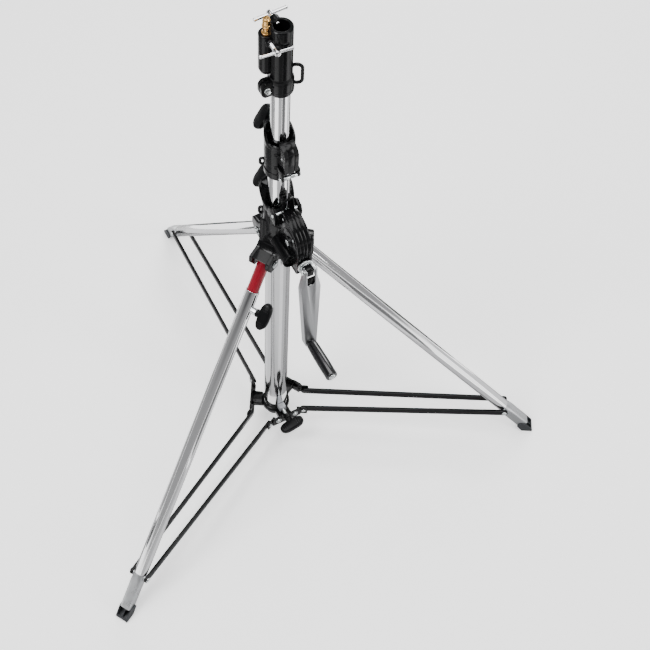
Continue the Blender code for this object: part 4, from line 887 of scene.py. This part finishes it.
def shoe(key, body):
    """Moulded shoe: a low wedge, open on its sloping top, that the pressed end stands in."""
    shape = Shape()
    place = at(AZ_LEG[key]) @ UPRIGHT
    wall = softened([(0.56, 0.03), (0.556, 0.018), (0.569, 0.0), (0.593, 0.0), (0.593, 0.007),
                     (0.576, 0.029)], 0.0014)
    for side in (-1, 1):
        shape.plate([wall], *span(side, 0.0121, SHOE_HALF), place, 0.0006)
    shape.plate([[(0.56, 0.0185), (0.571, 0.0006), (0.592, 0.0006), (0.592, 0.003), (0.5725, 0.003),
                  (0.5625, 0.02)]], -0.0124, 0.0124, place, 0.0003)
    shape.plate([softened([(0.5898, 0.001), (0.5928, 0.001), (0.5928, 0.007), (0.5898, 0.01)], 0.0006)],
                -0.0124, 0.0124, place, 0.0003)
    shape.plate([[(0.573, 0.0028), (0.59, 0.0028), (0.59, 0.008), (0.579, 0.021), (0.573, 0.021)]],
                -0.0012, 0.0012, place, 0.0004)
    shape.piece(f"leg_{key}_shoe_moulding", SHOE, body, f"leg_{key}_shoe")


for key in AZ_LEG:
    place = leg_frame(key)
    if key == "a":
        tube("leg_a_red_tube", "leg_a_inner", "leg_a", LEVEL_TUBE_R, 0.0015, -LEG_TOP, LEVEL_TUBE_END,
             place, RED)
        tube("leg_a_outer_tube", "leg_a_tube", "leg_a_slide", LEG_R, 0.0013, LEVEL_OUTER_START,
             LEG_TUBE_END, place, BRUSHED)
        boss_frame = leg_frame("a", LEVEL_KNOB_S) @ SIDE
        boss = Shape().ring(0.007, 0.0043, 0.012, 0.024, boss_frame, 40, 0.0006)
        boss.piece("level_boss_turned", ZINC, "leg_a_slide", "level_boss")
        carrier = "leg_a_slide"
    else:
        carrier = f"leg_{key}"
        tube(f"leg_{key}_tube_skin", f"leg_{key}_tube", carrier, LEG_R, 0.0014, -LEG_TOP, LEG_TUBE_END,
             place, BRUSHED)
    fitting(key, carrier)
    shoe(key, carrier)

# ---------------------------------------------------------------- frame parts that stay as they are
for node_name, mat in (("column_bush", NYLON), ("cable_drum", STEEL), ("worm_wheel", BRASS),
                       ("crank_shaft", STEEL), ("worm", BRASS), ("riser_1_foot", NYLON),
                       ("riser_2_foot", NYLON)):
    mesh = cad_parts[node_name].data
    mesh.materials.clear()
    mesh.materials.append(mat)

# ---------------------------------------------------------------- floor, light and camera
floor_mat = surface("studio_floor", (0.9, 0.9, 0.9), 0.0, 0.75, 0.0, 900, 0.005, 0.02, specular=0.1)
floor_shader = floor_mat.node_tree.nodes["Principled BSDF"]
floor_shader.inputs["Emission Color"].default_value = (1, 1, 1, 1)
floor_shader.inputs["Emission Strength"].default_value = 0.62
floor_mesh = bpy.data.meshes.new("studio_floor")
FLOOR_HALF = 6.0
floor_mesh.from_pydata([(-FLOOR_HALF, -FLOOR_HALF, 0), (FLOOR_HALF, -FLOOR_HALF, 0),
                        (FLOOR_HALF, FLOOR_HALF, 0), (-FLOOR_HALF, FLOOR_HALF, 0)], [], [(0, 1, 2, 3)])
floor_mesh.materials.append(floor_mat)
floor = placed("studio_floor", floor_mesh)


def softbox(name, place, aim, width, height, power):
    data = bpy.data.lights.new(name, "AREA")
    data.shape = "RECTANGLE"
    data.size, data.size_y, data.energy = width, height, power
    obj = placed(name, data)
    obj.location = place
    obj.rotation_euler = (Vector(aim) - Vector(place)).to_track_quat("-Z", "Y").to_euler()


CENTRE = (COLUMN_X, 0.0, 0.6)
softbox("key_light", (-1.9, -1.5, 3.2), CENTRE, 1.3, 1.3, 95)
softbox("fill_light", (2.4, -1.2, 1.9), CENTRE, 0.7, 2.0, 40)
softbox("back_light", (0.4, 2.7, 2.4), CENTRE, 2.4, 0.8, 70)
softbox("floor_light", (COLUMN_X, 0.3, 5.0), (COLUMN_X, 0.3, 0), 4.0, 4.0, 260)

# Cloth laid round the stand, seen only by what mirrors it: grey near the column, so that the
# tubes read as metal against the pale floor, with darker and lighter wedges that streak them.
CLOTH_LIFT = 0.0006


def cloth(name, azimuth, width, near, far, tone):
    """Wedge of cloth between two radii round the column, its colour a plain grey."""
    steps = max(1, int(width / 10))
    turns = [radians(azimuth - width / 2 + width * i / steps) for i in range(steps + 1)]
    edge = [(near, turn) for turn in turns] + [(far, turn) for turn in reversed(turns)]
    corners = [(r * cos(turn) + COLUMN_X, r * sin(turn), CLOTH_LIFT) for r, turn in edge]
    mesh = bpy.data.meshes.new(name)
    mesh.from_pydata(corners, [], [tuple(range(len(corners)))])
    mat = bpy.data.materials.new(name)
    mat.use_nodes = True
    shader = mat.node_tree.nodes["Principled BSDF"]
    shader.inputs["Base Color"].default_value = (tone, tone, tone * 1.01, 1)
    shader.inputs["Roughness"].default_value = 0.9
    mesh.materials.append(mat)
    sheet = placed(name, mesh)
    sheet.visible_camera = sheet.visible_diffuse = sheet.visible_shadow = False
    sheet.visible_transmission = sheet.visible_volume_scatter = False


SPLIT_R, FAR_R = 0.66, 3.0
NEAR_TONES = ((-215, 60, 0.62), (-165, 40, 0.52), (-139, 12, 0.22), (-100, 66, 0.46), (-52, 30, 0.58),
              (-22, 30, 0.36), (20, 54, 0.26), (85, 76, 0.12))
FAR_TONES = ((-178, 44, 0.2), (-150, 8, 0.02), (-88, 36, 0.3), (-50, 34, 0.09), (8, 26, 0.5),
             (50, 44, 0.04), (110, 12, 0.04), (150, 8, 0.05))
for ring_name, tones, near, far in (("near", NEAR_TONES, 0.07, SPLIT_R),
                                    ("far", FAR_TONES, SPLIT_R, FAR_R)):
    for i, (azimuth, width, tone) in enumerate(tones):
        cloth(f"{ring_name}_cloth_{i}", azimuth, width, near, far, tone)

world = bpy.data.worlds.new("studio")
world.use_nodes = True
sky = world.node_tree
background = sky.nodes["Background"]
direction = node(sky, "ShaderNodeTexCoord")
apart = node(sky, "ShaderNodeSeparateXYZ")
sky.links.new(direction.outputs["Generated"], apart.inputs["Vector"])
bands = sky.nodes.new("ShaderNodeValToRGB")
bands.color_ramp.interpolation = "EASE"
stops = ((0.0, 0.5), (0.52, 0.75), (0.63, 0.7), (0.71, 0.45), (0.76, 0.08), (0.82, 0.08), (0.88, 0.8))
while len(bands.color_ramp.elements) < len(stops):
    bands.color_ramp.elements.new(0.5)
for element, (position, level) in zip(bands.color_ramp.elements, stops):
    element.position = position
    element.color = (level, level, level * 1.01, 1)
height = node(sky, "ShaderNodeMapRange", From_Min=-1.0)
sky.links.new(apart.outputs["Z"], height.inputs["Value"])
sky.links.new(height.outputs["Result"], bands.inputs["Fac"])
sky.links.new(bands.outputs["Color"], background.inputs["Color"])
background.inputs["Strength"].default_value = 0.55
bpy.context.scene.world = world

camera_data = bpy.data.cameras.new("camera")
camera = placed("camera", camera_data)
camera_data.sensor_width = 36.0
camera_data.lens = 80.98
camera_data.shift_x, camera_data.shift_y = 0.033, -0.15
camera_data.clip_start, camera_data.clip_end = 0.1, 50
EYE = Vector((-0.0765, -1.6895, 2.9651))
FORWARD = Vector((-0.006889, 0.601215, -0.799058)).normalized()
RIGHT = Vector((0.998809, 0.042739, 0.023546)).normalized()
UP = RIGHT.cross(FORWARD)
camera.matrix_world = Matrix.Translation(EYE) @ Matrix((RIGHT, UP, -FORWARD)).transposed().to_4x4()
bpy.context.scene.camera = camera
